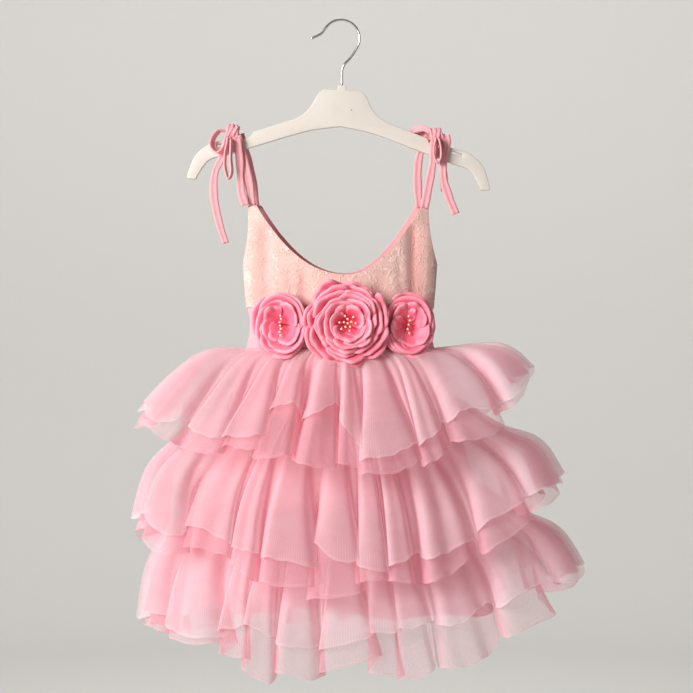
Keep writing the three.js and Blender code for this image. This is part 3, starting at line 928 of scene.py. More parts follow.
class Shader:
    """A material under construction."""

    def __init__(self, name):
        self.material = bpy.data.materials.new(name)
        self.material.use_nodes = True
        self.tree = self.material.node_tree
        self.principled = self.tree.nodes["Principled BSDF"]
        self.output = self.tree.nodes["Material Output"]

    def feed(self, socket, value):
        if isinstance(value, Sock):
            self.tree.links.new(value.socket, socket)
        elif isinstance(value, (tuple, list)) and len(value) == 3 and len(socket.default_value) == 4:
            socket.default_value = (*value, 1)
        else:
            socket.default_value = value

    def node(self, kind, settings, inputs):
        """Any node: its type, then its settings, then its sockets. Gives its outputs by name."""
        made = self.tree.nodes.new(kind)
        for key, value in settings.items():
            setattr(made, key, value)
        for key, value in inputs.items():
            self.feed(made.inputs[key], value)
        return {out.name: Sock(self, out) for out in made.outputs if out.enabled}

    def math(self, operation, a, b=0.0, clamp=False):
        settings = {"operation": operation, "use_clamp": clamp}
        return self.node("ShaderNodeMath", settings, {0: a, 1: b})["Value"]

    def vector(self, operation, a, b):
        made = self.node("ShaderNodeVectorMath", {"operation": operation}, {0: a, 1: b})
        return made.get("Value") or made["Vector"]

    def mix(self, share, a, b, blend="MIX"):
        """Colour a where share is 0 and b where it is 1."""
        made = self.tree.nodes.new("ShaderNodeMix")
        made.data_type = "RGBA"
        made.blend_type = blend
        self.feed(made.inputs[0], share)
        self.feed(made.inputs[6], self.colour(a))
        self.feed(made.inputs[7], self.colour(b))
        return Sock(self, made.outputs[2])

    @staticmethod
    def colour(value):
        return value if isinstance(value, Sock) else (*tuple(value)[:3], 1)

    def cloth(self):
        """The place on the flat cloth, in millimetres."""
        place = self.node("ShaderNodeUVMap", {"uv_map": "cloth"}, {})["UV"]
        return self.vector("MULTIPLY", place, (1000, 1000, 1000))

    def place(self):
        """The place in the frame, in millimetres."""
        here = self.node("ShaderNodeTexCoord", {}, {})["Object"]
        return self.vector("MULTIPLY", here, (1000, 1000, 1000))

    def attribute(self, name):
        return self.node("ShaderNodeAttribute", {"attribute_name": name}, {})["Fac"]

    def noise(self, place, size, detail=2.0, roughness=0.5):
        """Soft noise from 0 to 1, whose blots are about size millimetres wide."""
        inputs = {"Vector": place, "Scale": 1 / size, "Detail": detail, "Roughness": roughness}
        return self.node("ShaderNodeTexNoise", {}, inputs)["Fac"]

    def bump(self, height, depth, strength=1.0):
        """A normal from a height of 0 to 1 over depth millimetres."""
        inputs = {"Height": height, "Distance": depth * MM, "Strength": strength}
        return self.node("ShaderNodeBump", {}, inputs)["Normal"]

    def surface(self, **sockets):
        for key, value in sockets.items():
            self.feed(self.principled.inputs[key.replace("_", " ").title().replace("Ior", "IOR")], value)
        return self.material

    def shader_mix(self, share, first, second):
        """A mix of two shader sockets, first where share is 0."""
        made = self.tree.nodes.new("ShaderNodeMixShader")
        self.feed(made.inputs[0], share)
        self.tree.links.new(first, made.inputs[1])
        self.tree.links.new(second, made.inputs[2])
        return made.outputs[0]

    def show(self, shader):
        self.tree.links.new(shader, self.output.inputs["Surface"])


def net_threads(shader, cloth, pitch):
    """1 on the threads of a hexagonal net and 0 in its holes."""
    x, y, _ = cloth.parts()
    nearest = None
    for degrees in (0, 60, 120):
        angle = math.radians(degrees)
        along = x * (math.cos(angle) / pitch) + y * (math.sin(angle) / pitch)
        swing = abs((along * math.pi).wave())
        nearest = swing if nearest is None else nearest.least(swing)
    return 1 - nearest.between(0.1, 0.45)


def tulle_material(name, colour, deep, cover):
    """Sheer net. Cloth seen through its folds is denser, and cover is the share of light that it stops."""
    shader = Shader(name)
    cloth = shader.cloth()
    threads = net_threads(shader, cloth, sizes().net_pitch)
    crumple = shader.noise(cloth, 26, detail=3)
    density = shader.attribute("layers")
    valley = shader.attribute("valley")
    open_share = 1 - cover * (0.86 + threads * 0.3) * (0.82 + crumple * 0.36)
    alpha = 1 - open_share.within() ** density
    # Painted shade: the valleys of the folds are tinted towards the deep colour; denser cloth deepens it a
    # little too
    tint = shader.mix((valley * 0.45 + density * 0.12 - 0.1).within(), colour, deep)
    shader.surface(base_color=tint, roughness=0.7, sheen_weight=0.12, sheen_roughness=0.4)
    shader.principled.inputs["Specular IOR Level"].default_value = 0.2
    glow = shader.tree.nodes.new("ShaderNodeBsdfTranslucent")
    shader.feed(glow.inputs["Color"], shader.colour(deep))
    clear = shader.tree.nodes.new("ShaderNodeBsdfTransparent")
    cloth_shader = shader.shader_mix(0.42, shader.principled.outputs[0], glow.outputs[0])
    shader.show(shader.shader_mix(alpha.within(), clear.outputs[0], cloth_shader))
    return shader.material


def lace_material():
    """Floral lace: raised blossoms and leaves on a net, with small holes, a salmon thread at its edge, and
    painted shade, pinker, in its folds.
    """
    shader = Shader("floral lace")
    cloth = shader.cloth()
    motif = sizes().motif
    wobble = shader.noise(cloth, 7, detail=2) - 0.5
    x, y, _ = cloth.parts()
    place = {"X": x + wobble * 2.4, "Y": y + wobble * 2.4, "Z": 0.0}
    warped = shader.node("ShaderNodeCombineXYZ", {}, place)["Vector"]
    cells = shader.node(
        "ShaderNodeTexVoronoi",
        {"voronoi_dimensions": "2D", "feature": "F1"},
        {"Vector": warped, "Scale": 1 / motif, "Randomness": 0.8},
    )
    towards = shader.vector("SUBTRACT", shader.vector("DIVIDE", warped, (motif, motif, 1)), cells["Position"])
    dx, dy, _ = towards.parts()
    reach = (dx * dx + dy * dy) ** 0.5
    angle = shader.math("ARCTAN2", dy, dx)
    petals = (angle * 5).wave() * 0.5 + 0.5
    edge = petals * 0.14 + 0.24
    blossom = 1 - (reach - edge).between(-0.04, 0.02)
    cord = 1 - abs(reach - edge).between(0.015, 0.05)
    heart = 1 - reach.between(0.045, 0.08)
    veins = abs((angle * 15).wave()) * (1 - reach.between(0.1, 0.3))
    stems = 1 - abs(shader.noise(warped, 11, detail=1) - 0.5).between(0.012, 0.035)
    holes_at = shader.node(
        "ShaderNodeTexVoronoi",
        {"voronoi_dimensions": "2D", "feature": "F1"},
        {"Vector": warped, "Scale": 1 / 3.1, "Randomness": 0.9},
    )["Distance"]
    patches = shader.noise(cloth, 10, detail=1).between(0.46, 0.6)
    holes = (1 - holes_at.between(0.16, 0.3)) * patches * (1 - blossom)
    threads = net_threads(shader, cloth, 1.9)
    stitches = shader.noise(cloth, 0.8, detail=1)
    raised = blossom.most(stems)
    tint = shader.mix(threads * 0.35 + 0.35, colours().lace_ground, colours().lace)
    tint = shader.mix((raised * (0.3 + stitches * 0.25)).within(), tint, srgb(244, 222, 212))
    tint = shader.mix((heart * 0.4 + veins * 0.16 + holes * 0.7).within(), tint, srgb(220, 166, 156))
    # Painted shade: pinker in the troughs of the folds, by how deep each point is sunk in a fold
    tint = shader.mix(shader.attribute("inside") * 0.7, tint, srgb(236, 164, 158))
    tint = shader.mix(shader.attribute("edge") * 0.8, tint, srgb(232, 140, 142))
    height = raised * 0.55 + cord * 0.5 + threads * 0.12 + stitches * 0.2 - heart * 0.3 - holes * 0.5
    normal = shader.bump(height, 0.6, 0.9)
    return shader.surface(base_color=tint, roughness=0.85, normal=normal, sheen_weight=0.15)


def jersey_material(name, colour):
    """Fine ribbed knit, with a painted highlight on the crests of its ribs."""
    shader = Shader(name)
    cloth = shader.cloth()
    x, y, _ = cloth.parts()
    rib = sizes().rib
    ribs = abs((x * (math.pi / rib)).wave())
    loops = (y * (TAU / rib) + (x * (math.pi / rib)).wave() * 1.2).wave() * 0.5 + 0.5
    fuzz = shader.noise(cloth, 4, detail=3)
    # Painted highlight: paler on the crests of the ribs; the fuzz adds a paler random tone
    tint = shader.mix((ribs * 0.22 + fuzz * 0.18).within(), shader.colour(colour), srgb(255, 220, 222))
    height = ribs * 0.7 + loops * 0.3
    return shader.surface(
        base_color=tint, roughness=0.85, normal=shader.bump(height, 0.25, 0.7), sheen_weight=0.2
    )


def lining_material(name, colour, worn):
    """Plain woven lining, which pales towards its hem where it has a hem attribute."""
    shader = Shader(name)
    cloth = shader.cloth()
    x, y, _ = cloth.parts()
    weave = (x * (TAU / 0.9)).wave() * (y * (TAU / 0.9)).wave()
    mottle = shader.noise(cloth, 18, detail=2)
    tint = shader.mix((mottle * 0.3 + shader.attribute("pale")).within(), colour, worn)
    return shader.surface(
        base_color=tint, roughness=0.7, normal=shader.bump(weave, 0.12, 0.5), sheen_weight=0.1
    )


def satin_material():
    """Petal satin: painted shade, deep pink, towards its root, and a painted highlight, pale, along its
    seared rim.
    """
    shader = Shader("petal satin")
    rim = shader.attribute("rim")
    root = shader.attribute("root")
    cloth = shader.cloth()
    x, y, _ = cloth.parts()
    weave = (x * (TAU / 0.7)).wave() * 0.5 + 0.5
    mottle = shader.noise(cloth, 7, detail=2)
    # Painted shade: deeper pink towards the root of each petal, in the recesses between whorls; the mottle is
    # random tone
    tint = shader.mix((root * 0.9 + mottle * 0.12).within(), colours().petal, colours().petal_painted_shade)
    # Painted highlight: paler along the curled rim of each petal
    tint = shader.mix(rim, tint, colours().petal_rim_highlight)
    roughness = 0.34 + rim * 0.12 + mottle * 0.12
    return shader.surface(
        base_color=tint,
        roughness=roughness,
        normal=shader.bump(weave * 0.4 + mottle, 0.35, 0.4),
        sheen_weight=0.25,
        sheen_roughness=0.35,
    )


def plastic_material():
    """Moulded white plastic with a faint orange-peel surface and a few handling marks."""
    shader = Shader("hanger plastic")
    place = shader.place()
    peel = shader.noise(place, 1.6, detail=2)
    wear = shader.noise(place, 22, detail=4, roughness=0.6)
    tint = shader.mix(wear.between(0.45, 0.75) * 0.4, colours().plastic, srgb(206, 195, 182))
    x, y, z = place.parts()
    across, up = x - HANGER_DOT[0], z - HANGER_DOT[1]
    dot = (1 - ((across * across + up * up) ** 0.5).between(0.5, 1.0)) * (1 - y.between(-1, 1))
    tint = shader.mix(dot, tint, srgb(120, 108, 100))
    return shader.surface(
        base_color=tint,
        roughness=0.32 + wear * 0.16,
        normal=shader.bump(peel, 0.12, 0.3),
        coat_weight=0.12,
        coat_roughness=0.25,
        subsurface_weight=0.05,
    )


def wire_material():
    """Bright plated wire, faintly drawn along its length."""
    shader = Shader("plated wire")
    place = shader.place()
    stain = shader.noise(place, 5, detail=3)
    tint = shader.mix(stain * 0.5, srgb(214, 214, 212), srgb(172, 170, 166))
    return shader.surface(base_color=tint, metallic=1.0, roughness=0.14 + stain * 0.18)


def pearl_material():
    shader = Shader("pearl")
    place = shader.place()
    cloud = shader.noise(place, 1.8, detail=1)
    tint = shader.mix(cloud, srgb(255, 236, 220), srgb(246, 200, 178))
    return shader.surface(base_color=tint, roughness=0.18 + cloud * 0.1, coat_weight=0.8, coat_roughness=0.08)


def stamen_material():
    shader = Shader("stamen thread")
    place = shader.place()
    cloud = shader.noise(place, 1.2, detail=1)
    tint = shader.mix(cloud, srgb(250, 190, 150), srgb(238, 130, 110))
    return shader.surface(base_color=tint, roughness=0.6)


def stage_material():
    shader = Shader("stage")
    shader.principled.inputs["Specular IOR Level"].default_value = 0.1
    return shader.surface(base_color=shader.colour(colours().stage), roughness=0.95)


# Meshes


def grid_faces(rows, columns, wraps, start=0):
    """Faces of a grid whose rows run down and whose columns run anticlockwise seen from above."""
    i, j = np.meshgrid(np.arange(rows - 1), np.arange(columns if wraps else columns - 1), indexing="ij")
    after = (j + 1) % columns
    faces = np.stack(
        [i * columns + j, (i + 1) * columns + j, (i + 1) * columns + after, i * columns + after], axis=-1
    )
    return faces.reshape(-1, 4) + start


def normals_of(grid, wraps):
    """Directions out of a grid of points."""
    down = np.gradient(grid, axis=0)
    if wraps:
        along = np.roll(grid, -1, axis=1) - np.roll(grid, 1, axis=1)
    else:
        along = np.gradient(grid, axis=1)
    out = np.cross(down, along)
    return out / np.maximum(np.linalg.norm(out, axis=-1, keepdims=True), 1e-9)


def flat_places(grid, wraps):
    """The place of each point on the flat cloth, in millimetres: along the weft, and down the warp."""
    down = np.linalg.norm(np.diff(grid, axis=0), axis=-1)
    v = np.vstack([np.zeros((1, grid.shape[1])), np.cumsum(down, axis=0)])
    middle = grid[grid.shape[0] // 2]
    along = np.linalg.norm(np.diff(middle, axis=0), axis=-1)
    u = np.concatenate([[0], np.cumsum(along)])
    return np.stack([np.broadcast_to(u, v.shape), v], axis=-1)


class Draft:
    """Points and faces gathered for one mesh, with a flat place and named values for each point."""

    def __init__(self):
        self.points, self.faces, self.places, self.values = [], [], [], {}
        self.count = 0

    def gather(self, points, faces):
        """A whole mesh at once, whose faces may have three corners or four."""
        self.count = len(points)
        self.points, self.places, self.faces = [points], [np.zeros((len(points), 2))], faces

    def add(self, points, faces, places=None, **values):
        points = np.asarray(points, dtype=float).reshape(-1, 3)
        total = len(points)
        self.faces += (np.asarray(faces) + self.count).tolist()
        self.points.append(points)
        self.places.append(np.zeros((total, 2)) if places is None else np.reshape(places, (total, 2)))
        for key, value in values.items():
            each = np.broadcast_to(value, (total,)) if np.ndim(value) == 0 else np.reshape(value, total)
            self.values.setdefault(key, []).append(each)
        self.count += total

    def sheet(self, grid, wraps=False, places=None, **values):
        """A single face of cloth."""
        rows, columns = grid.shape[:2]
        if places is None:
            places = flat_places(grid, wraps)
        self.add(grid, grid_faces(rows, columns, wraps), places, **values)

    def wall(self, outer, inner, wraps=False, places=None, **values):
        """A closed wall between two grids."""
        rows, columns = outer.shape[:2]
        if places is None:
            places = flat_places(outer, wraps)
        size = rows * columns
        front = grid_faces(rows, columns, wraps)
        back = grid_faces(rows, columns, wraps, size)[:, ::-1]
        spans = np.arange(columns if wraps else columns - 1)
        after = (spans + 1) % columns
        foot = (rows - 1) * columns
        top = np.stack([spans, after, after + size, spans + size], axis=-1)
        hem = np.stack([foot + spans, foot + spans + size, foot + after + size, foot + after], axis=-1)
        faces = [front, back, top, hem]
        if not wraps:
            i = np.arange(rows - 1) * columns
            end = i + columns - 1
            faces.append(np.stack([i, i + size, i + columns + size, i + columns], axis=-1))
            faces.append(np.stack([end, end + columns, end + columns + size, end + size], axis=-1))
        twice = {key: np.concatenate([np.reshape(value, -1)] * 2) for key, value in values.items()}
        places = np.concatenate([np.reshape(places, (-1, 2))] * 2)
        points = np.concatenate([outer.reshape(-1, 3), inner.reshape(-1, 3)])
        self.add(points, np.concatenate(faces), places, **twice)

    def piece(self, name, material):
        """The finished object, in metres."""
        mesh = bpy.data.meshes.new(name)
        mesh.from_pydata((np.concatenate(self.points) * MM).tolist(), [], self.faces)
        mesh.polygons.foreach_set("use_smooth", [True] * len(mesh.polygons))
        corner = np.zeros(len(mesh.loops), dtype=int)
        mesh.loops.foreach_get("vertex_index", corner)
        places = np.concatenate(self.places)[corner] * MM
        mesh.uv_layers.new(name="cloth").data.foreach_set("uv", places.ravel())
        for key, value in self.values.items():
            data = mesh.attributes.new(key, "FLOAT", "POINT").data
            data.foreach_set("value", np.concatenate(value).astype(np.float32))
        mesh.materials.append(material)
        mesh.update()
        made = bpy.data.objects.new(name, mesh)
        bpy.context.scene.collection.objects.link(made)
        return made


def dress_with(piece, slot, *nodes):
    """Hang a piece on the frame in place of its solids."""
    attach(piece, "root")
    if nodes:
        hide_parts(*nodes)
    return piece


def smooth_curve(points, steps_per_span):
    """Points on a smooth curve through the given ones, close to three.js's own."""
    p = np.asarray(points, dtype=float)
    ends = np.vstack([2 * p[0] - p[1], p, 2 * p[-1] - p[-2]])
    made = []
    for k in range(1, len(ends) - 2):
        a, b, c, d = ends[k - 1 : k + 3]
        gaps = [max(np.linalg.norm(q - r) ** 0.5, 1e-6) for q, r in ((b, a), (c, b), (d, c))]
        out = ((b - a) / gaps[0] - (c - a) / (gaps[0] + gaps[1]) + (c - b) / gaps[1]) * gaps[1]
        into = ((c - b) / gaps[1] - (d - b) / (gaps[1] + gaps[2]) + (d - c) / gaps[2]) * gaps[1]
        for f in np.arange(steps_per_span) / steps_per_span:
            f2, f3 = f * f, f * f * f
            between = b * (2 * f3 - 3 * f2 + 1) + c * (3 * f2 - 2 * f3)
            made.append(between + out * (f3 - 2 * f2 + f) + into * (f3 - f2))
    made.append(p[-1])
    return np.array(made)


def swept(path, section, across):
    """Rings of a closed section along a path. section is (wide, thick) pairs, and across is the wide way."""
    tangent = np.gradient(path, axis=0)
    tangent /= np.linalg.norm(tangent, axis=1, keepdims=True)
    across = np.broadcast_to(np.asarray(across, dtype=float), path.shape)
    wide = across - tangent * np.sum(across * tangent, axis=1, keepdims=True)
    wide /= np.linalg.norm(wide, axis=1, keepdims=True)
    thick = np.cross(tangent, wide)
    w, h = np.asarray(section).T if np.ndim(section) == 2 else (section[..., 0], section[..., 1])
    return path[:, None] + wide[:, None] * w[..., None] + thick[:, None] * h[..., None]


def tube_faces(rings, sides):
    """Faces of a tube of rings, closed by a fan at each end. The two tips follow the rings."""
    faces = grid_faces(rings, sides, True).tolist()
    first, last = rings * sides, rings * sides + 1
    faces = [[a, d, c, b] for a, b, c, d in faces]
    for k in range(sides):
        after = (k + 1) % sides
        faces.append([first, after, k])
        faces.append([last, (rings - 1) * sides + k, (rings - 1) * sides + after])
    return faces


def add_tube(draft, rings, places=None, **values):
    count, sides = rings.shape[:2]
    tips = np.stack([rings[0].mean(axis=0), rings[-1].mean(axis=0)])
    points = np.concatenate([rings.reshape(-1, 3), tips])
    if places is not None:
        places = np.concatenate([places.reshape(-1, 2), places[0, :1], places[-1, :1]])
    draft_faces = tube_faces(count, sides)
    total = draft.count
    draft.points.append(points)
    draft.faces += [[v + total for v in face] for face in draft_faces]
    draft.places.append(np.zeros((len(points), 2)) if places is None else places)
    for key, value in values.items():
        draft.values.setdefault(key, []).append(np.full(len(points), value, dtype=float))
    draft.count += len(points)


# The body of the dress


def body_section(z, side):
    """Half width and depth of the body at height z, in straight runs between the rings."""
    heights = [-ring.z for ring in BODY_RINGS]
    width = np.interp(-z, heights, [ring.width for ring in BODY_RINGS])
    front = np.interp(-z, heights, [ring.front for ring in BODY_RINGS])
    back = np.interp(-z, heights, [ring.back for ring in BODY_RINGS])
    return width, np.where(np.asarray(side) < 0, front, back)


def smoothstep(x, low, high):
    f = np.clip((x - low) / (high - low), 0, 1)
    return f * f * (3 - 2 * f)


def top_edge(cut, armhole_steps=14, neck_steps=44):
    """The top edge of a panel from its left seam to its right: x, z, and the x it hangs to at the hem."""
    hem, _ = body_section(LACE_HEM_Z, cut.side)
    seam, _ = body_section(UNDERARM_Z, cut.side)
    edge = []

    def armhole(tip, sign, f):
        x = sign * seam * (1 - f) + tip.outer * f - sign * ARMHOLE_INSET * math.sin(math.pi * f)
        return x, UNDERARM_Z * (1 - f) + tip.z * f, sign * hem * (1 - 0.1 * f)

    def neck(tip, sign, f):
        x = cut.low_x * (1 - f) + tip.inner * f
        return x, cut.low_z + (tip.z - cut.low_z) * f**tip.power, sign * hem * 0.8 * f

    edge += [armhole(cut.left, -1, k / armhole_steps) for k in range(armhole_steps)]
    edge += [armhole(cut.left, -1, 1.0)]
    edge += [neck(cut.left, -1, k / neck_steps) for k in range(neck_steps, 0, -1)]
    edge += [neck(cut.right, 1, k / neck_steps) for k in range(neck_steps + 1)]
    edge += [armhole(cut.right, 1, k / armhole_steps) for k in range(armhole_steps, -1, -1)]
    return np.array(edge)


def trough(folds, x, z):
    total = np.zeros(np.broadcast(x, z).shape)
    for fold in folds:
        centre = fold.x + fold.lean * (fold.top - z)
        total += fold.depth * smoothstep(fold.top - z, 0, 25) * np.exp(-(((x - centre) / fold.width) ** 2))
    return total


def panel_grid(cut, rows=64):
    """The face of a bodice panel, and how far each point is in a fold or on the edge."""
    edge = top_edge(cut)
    f = np.linspace(0, 1, rows)[:, None]
    z = edge[:, 1] * (1 - f) + LACE_HEM_Z * f
    width, depth = body_section(z, cut.side)
    x = np.clip(edge[:, 0] * (1 - f) + edge[:, 2] * f, -width, width)
    roundness = np.sqrt(np.maximum(1 - (x / width) ** 2, 0))
    sunk = trough(cut.folds, x, z) + trough(cut.creases, x, z)
    y = cut.side * (0.25 + np.maximum((depth - sunk) * roundness, 0))
    lap = 2.2 + 0.7 * np.sin(x / 2.1) + 0.5 * np.sin(x / 5.3 + 1)
    z = z - lap * smoothstep(f, 0.93, 1)
    grid = np.stack([x, y, z], axis=-1)
    # How deep each point is sunk in a fold, which the lace uses for painted shade
    inside = np.clip(sunk / 4.5, 0, 1)
    edge = np.broadcast_to(1 - smoothstep(f, 0.008, 0.016), x.shape)
    if cut.side < 0:
        return grid, inside, edge
    return grid[:, ::-1], inside[:, ::-1], edge[:, ::-1]


def offset(grid, distance, wraps=False):
    return grid + normals_of(grid, wraps) * distance


def behind(grid, cut, depth):
    """A panel's grid moved in by depth. It stops at the side seam."""
    moved = offset(grid, -depth)
    moved[..., 1] = cut.side * np.maximum(cut.side * moved[..., 1], 0.25)
    return moved


def bodice_piece(side, material, lining):
    cut = PANELS[side]
    face, inside, edge = panel_grid(cut)
    places = face[..., [0, 2]]
    draft = Draft()
    draft.wall(offset(face, 0.15), behind(face, cut, LACE * 0.6), places=places, inside=inside, edge=edge)
    piece = dress_with(draft.piece(f"lace_{side}", material), "lace", f"bodice_{side}")
    draft = Draft()
    start = LACE + GAP
    draft.wall(behind(face, cut, start), behind(face, cut, start + LINING * 0.7), places=places)
    piece = dress_with(draft.piece(f"pink_lining_{side}", lining), "lining", f"lining_{side}")


def body_tube(heights, inset, columns=240, ripples=()):
    """A tube of the body, with upright ripples of its cloth: (count, height, turn) rows."""
    z = np.asarray(heights, dtype=float)[:, None]
    turn = np.linspace(0, TAU, columns, endpoint=False)
    width, depth = body_section(z, np.broadcast_to(np.sin(turn), (len(heights), columns)))
    grow = sum(height * np.sin(count * turn + start) for count, height, start in ripples) if ripples else 0
    x = (width - inset + grow) * np.cos(turn)
    y = (depth - inset + grow) * np.sin(turn)
    return np.stack([x, y, np.broadcast_to(z, x.shape)], axis=-1)


def build_waistband(material):
    heights = np.linspace(BAND_TOP_Z + 1.2, BAND_SEAM_Z - 1.6, 30)
    grid = body_tube(heights, GAP, ripples=((7, 0.25, 0.4), (17, 0.18, 1.9), (31, 0.1, 0.2)))
    draft = Draft()
    draft.wall(grid, offset(grid, -JERSEY * 0.7, True), wraps=True)
    piece = dress_with(draft.piece("waistband_jersey", material), "jersey", "waistband")


def build_base_skirt(material):
    heights = np.linspace(BASE_TOP_Z, BASE_HEM_Z, 60)
    fall = np.linspace(0, 1, 60)[:, None]
    grid = body_tube(heights, GAP)
    turn = np.linspace(0, TAU, grid.shape[1], endpoint=False)
    flute = fall * (2.2 * np.sin(11 * turn + 0.6) + 1.4 * np.sin(17 * turn + 2.1) - 3.2)
    grid = grid + normals_of(grid, True) * flute[..., None]
    grid[..., 2] += smoothstep(fall, 0.6, 1) * (5 * np.sin(3 * turn + 1) + 3.5 * np.sin(8 * turn + 2.6) + 9)
    pale = np.broadcast_to(smoothstep(fall, 0.7, 0.98), grid.shape[:2])
    draft = Draft()
    draft.wall(grid, offset(grid, -0.8, True), wraps=True, pale=pale)
    piece = dress_with(draft.piece("pink_base_skirt", material), "lining", "base_skirt")


# The tulle tiers


def wave_sum(waves, angle):
    return sum(wave.amount * np.sin(wave.count * angle + wave.turn) for wave in waves)


def along_table(sections, key, at):
    """A column's value at row number at, on a smooth curve through its rows and straight on past the last."""
    values = np.array([getattr(section, key) for section in sections], dtype=float)
    last = len(values) - 1
    i = np.minimum(np.floor(at).astype(int), last - 1)
    f = np.minimum(at - i, 1)
    a, b = values[np.maximum(i - 1, 0)], values[i]
    c, d = values[i + 1], values[np.minimum(i + 2, last)]
    slope_b = np.where(i > 0, (c - a) / 2, c - b)
    slope_c = np.where(i + 2 <= last, (d - b) / 2, c - b)
    f2, f3 = f * f, f * f * f
    past = np.maximum(at - last, 0) * (values[last] - values[last - 1])
    between = b * (2 * f3 - 3 * f2 + 1) + c * (3 * f2 - 2 * f3)
    return between + slope_b * (f3 - 2 * f2 + f) + slope_c * (f3 - f2) + past


def tier_point(tier, t, angle):
    """A tier's surface before it is gathered. t runs from 0 at the seam to 1 at the hem."""
    at = t * (len(tier.sections) - 1)
    east, north = np.cos(angle), np.sin(angle)

    def value(key):
        return along_table(tier.sections, key, at)

    z_side = np.where(east > 0, value("z_right"), value("z_left"))
    z_face = np.where(north > 0, value("z_back"), value("z_front"))
    level = z_face + (z_side - z_face) * east * east
    x = east * (np.where(east > 0, value("right"), value("left")) + SEAM_CLEARANCE)
    y = north * (np.where(north > 0, value("back"), value("front")) + SEAM_CLEARANCE)
    return np.stack([x, y, level + wave_sum(tier.lifts, angle) * t * t], axis=-1)


def unit(vectors):
    return vectors / np.maximum(np.linalg.norm(vectors, axis=-1, keepdims=True), 1e-9)


def tier_directions(tier, t, angle):
    """Unit vectors out of the ungathered surface, and along it round the skirt."""
    small = 0.01
    along = unit(tier_point(tier, t, angle + small) - tier_point(tier, t, angle - small))
    down = unit(tier_point(tier, t + small, angle) - tier_point(tier, np.maximum(t - small, 0), angle))
    return unit(np.cross(down, along)), along


def hem_short(tier, layer, angle):
    """By how much of its drop a layer's hem is short, in each direction."""
    at, share = np.transpose(tier.hems[layer.name])
    degrees = np.degrees(angle)
    return sum(part * np.interp(degrees + away, at, share, period=360) for away, part in HEM_SOFTENING)


def crease_depth(tier, t, angle):
    total = np.zeros(np.broadcast(t, angle).shape)
    for crease in tier.creases:
        away = np.degrees((angle - math.radians(crease.at) + math.pi) % TAU - math.pi)
        begun = smoothstep(t, crease.start, crease.start + 0.25)
        run = begun * (1 - smoothstep(t, crease.end + 0.05, crease.end + 0.3))
        total += crease.depth * run * np.exp(-((away / crease.width) ** 2))
    return total


def fold_width(turn):
    """How wide a fold is at turn, set against an even one."""
    return 1 + sum(wave.amount * wave.count * np.cos(wave.count * turn + wave.turn) for wave in FOLD_SPACING)


def flattened(wave):
    """A wave whose crests and valleys are flat faces, as crisp net folds."""
    return wave * math.sqrt(1 + CRISP_EDGE**2) / np.sqrt(wave**2 + CRISP_EDGE**2)


def ruffled_layer(tier, layer, seed):
    """A gathered layer: its points, the share of each in a valley, and how steeply the cloth stands there."""
    random = np.random.default_rng(seed)
    own = np.random.default_rng(seed + 5 * len(layer.name))
    columns = tier.folds * TIER_COLUMNS_PER_FOLD
    hem = tier.lower_reach if layer.name == "lower" else 1
    fall = np.linspace(0, 1, TIER_ROWS)[:, None]
    t = fall * hem
    turn = np.linspace(0, TAU, columns, endpoint=False)
    angle = turn + wave_sum(OVAL_SPACING, turn) + wave_sum(FOLD_SPACING, turn)
    short = hem_short(tier, layer, angle)
    t = t * (1 - np.maximum(short, 0))
    out, along = tier_directions(tier, t, angle)
    starts = [(count, size, random.uniform(0, TAU)) for count, size in DRIFTS]
    drift = sum(size * np.sin(count * turn + start) for count, size, start in starts)
    rate = sum(size * count * np.cos(count * turn + start) for count, size, start in starts)
    width = np.clip(tier.folds / (tier.folds + rate), 0.5, 2.2)
    height = along_table(tier.sections, "fold", t * (len(tier.sections) - 1))
    height = height * fold_width(turn) * (1 + wave_sum(DEPTH_WAVES, turn)) * width**0.7
    lag = 0.25 * np.sin(4 * turn + own.uniform(0, TAU))
    phase = tier.folds * turn + drift + lag * t
    crest = height * flattened(np.cos(phase))
    swell = FLUTES * smoothstep(t, 0.25, 1.0) * (0.55 + 0.45 * np.sin(6 * turn + own.uniform(0, TAU)))
    shift = crest - (layer.at_seam + (layer.at_hem - layer.at_seam) * t)
    slide = height * (CREST_FULLNESS + swell) * np.sin(phase)
    for count, size, start in MINOR_FOLDS:
        uneven = 0.55 + 0.45 * np.sin(4 * turn + own.uniform(0, TAU))
        wave = count * phase + start + 0.8 * t + 0.7 * np.sin(5 * turn + own.uniform(0, TAU))
        reach = size * uneven * smoothstep(t, 0.05, 0.8)
        shift = shift + reach * np.cos(wave)
        slide = slide + 0.5 * reach * np.sin(wave)
    gather = GATHER_HEIGHT * np.exp(-((t / GATHER_REACH) ** 2)) * smoothstep(t, -0.01, 0.06)
    shift = shift + gather * np.cos(GATHERS_PER_FOLD * phase + 2.5 * drift)
    shift = shift - crease_depth(tier, t, angle)
    shift = shift - (SEAM_CLEARANCE - 0.8) * (1 - smoothstep(t, 0.0, 0.05))
    grid = tier_point(tier, t, angle) + out * shift[..., None] + along * slide[..., None]
    grid[..., 2] -= LEVEL_SHARE * out[..., 2] * crest * smoothstep(t, 0.1, 1.0)
    grid[..., 2] += LONG_DROP * np.minimum(short, 0) * smoothstep(fall, 0.15, 1.05)
    ragged = sum(own.uniform(0.3, 0.8) * np.sin(k * turn + own.uniform(0, TAU)) for k in (29, 47, 83, 131))
    grid[..., 2] += ragged * smoothstep(fall, 0.93, 1.0) + 1.4 * (1 - smoothstep(t, 0.0, 0.05))
    steep = 1 / np.clip(np.abs(np.sum(normals_of(grid, True) * out, axis=-1)), 0.3, 1)
    # The share in a valley, which the tulle's colour uses for painted shade in its folds
    valley = np.clip(0.5 - 0.5 * np.cos(phase) * np.clip(height / 8, 0, 1), 0, 1)
    return grid, valley, steep


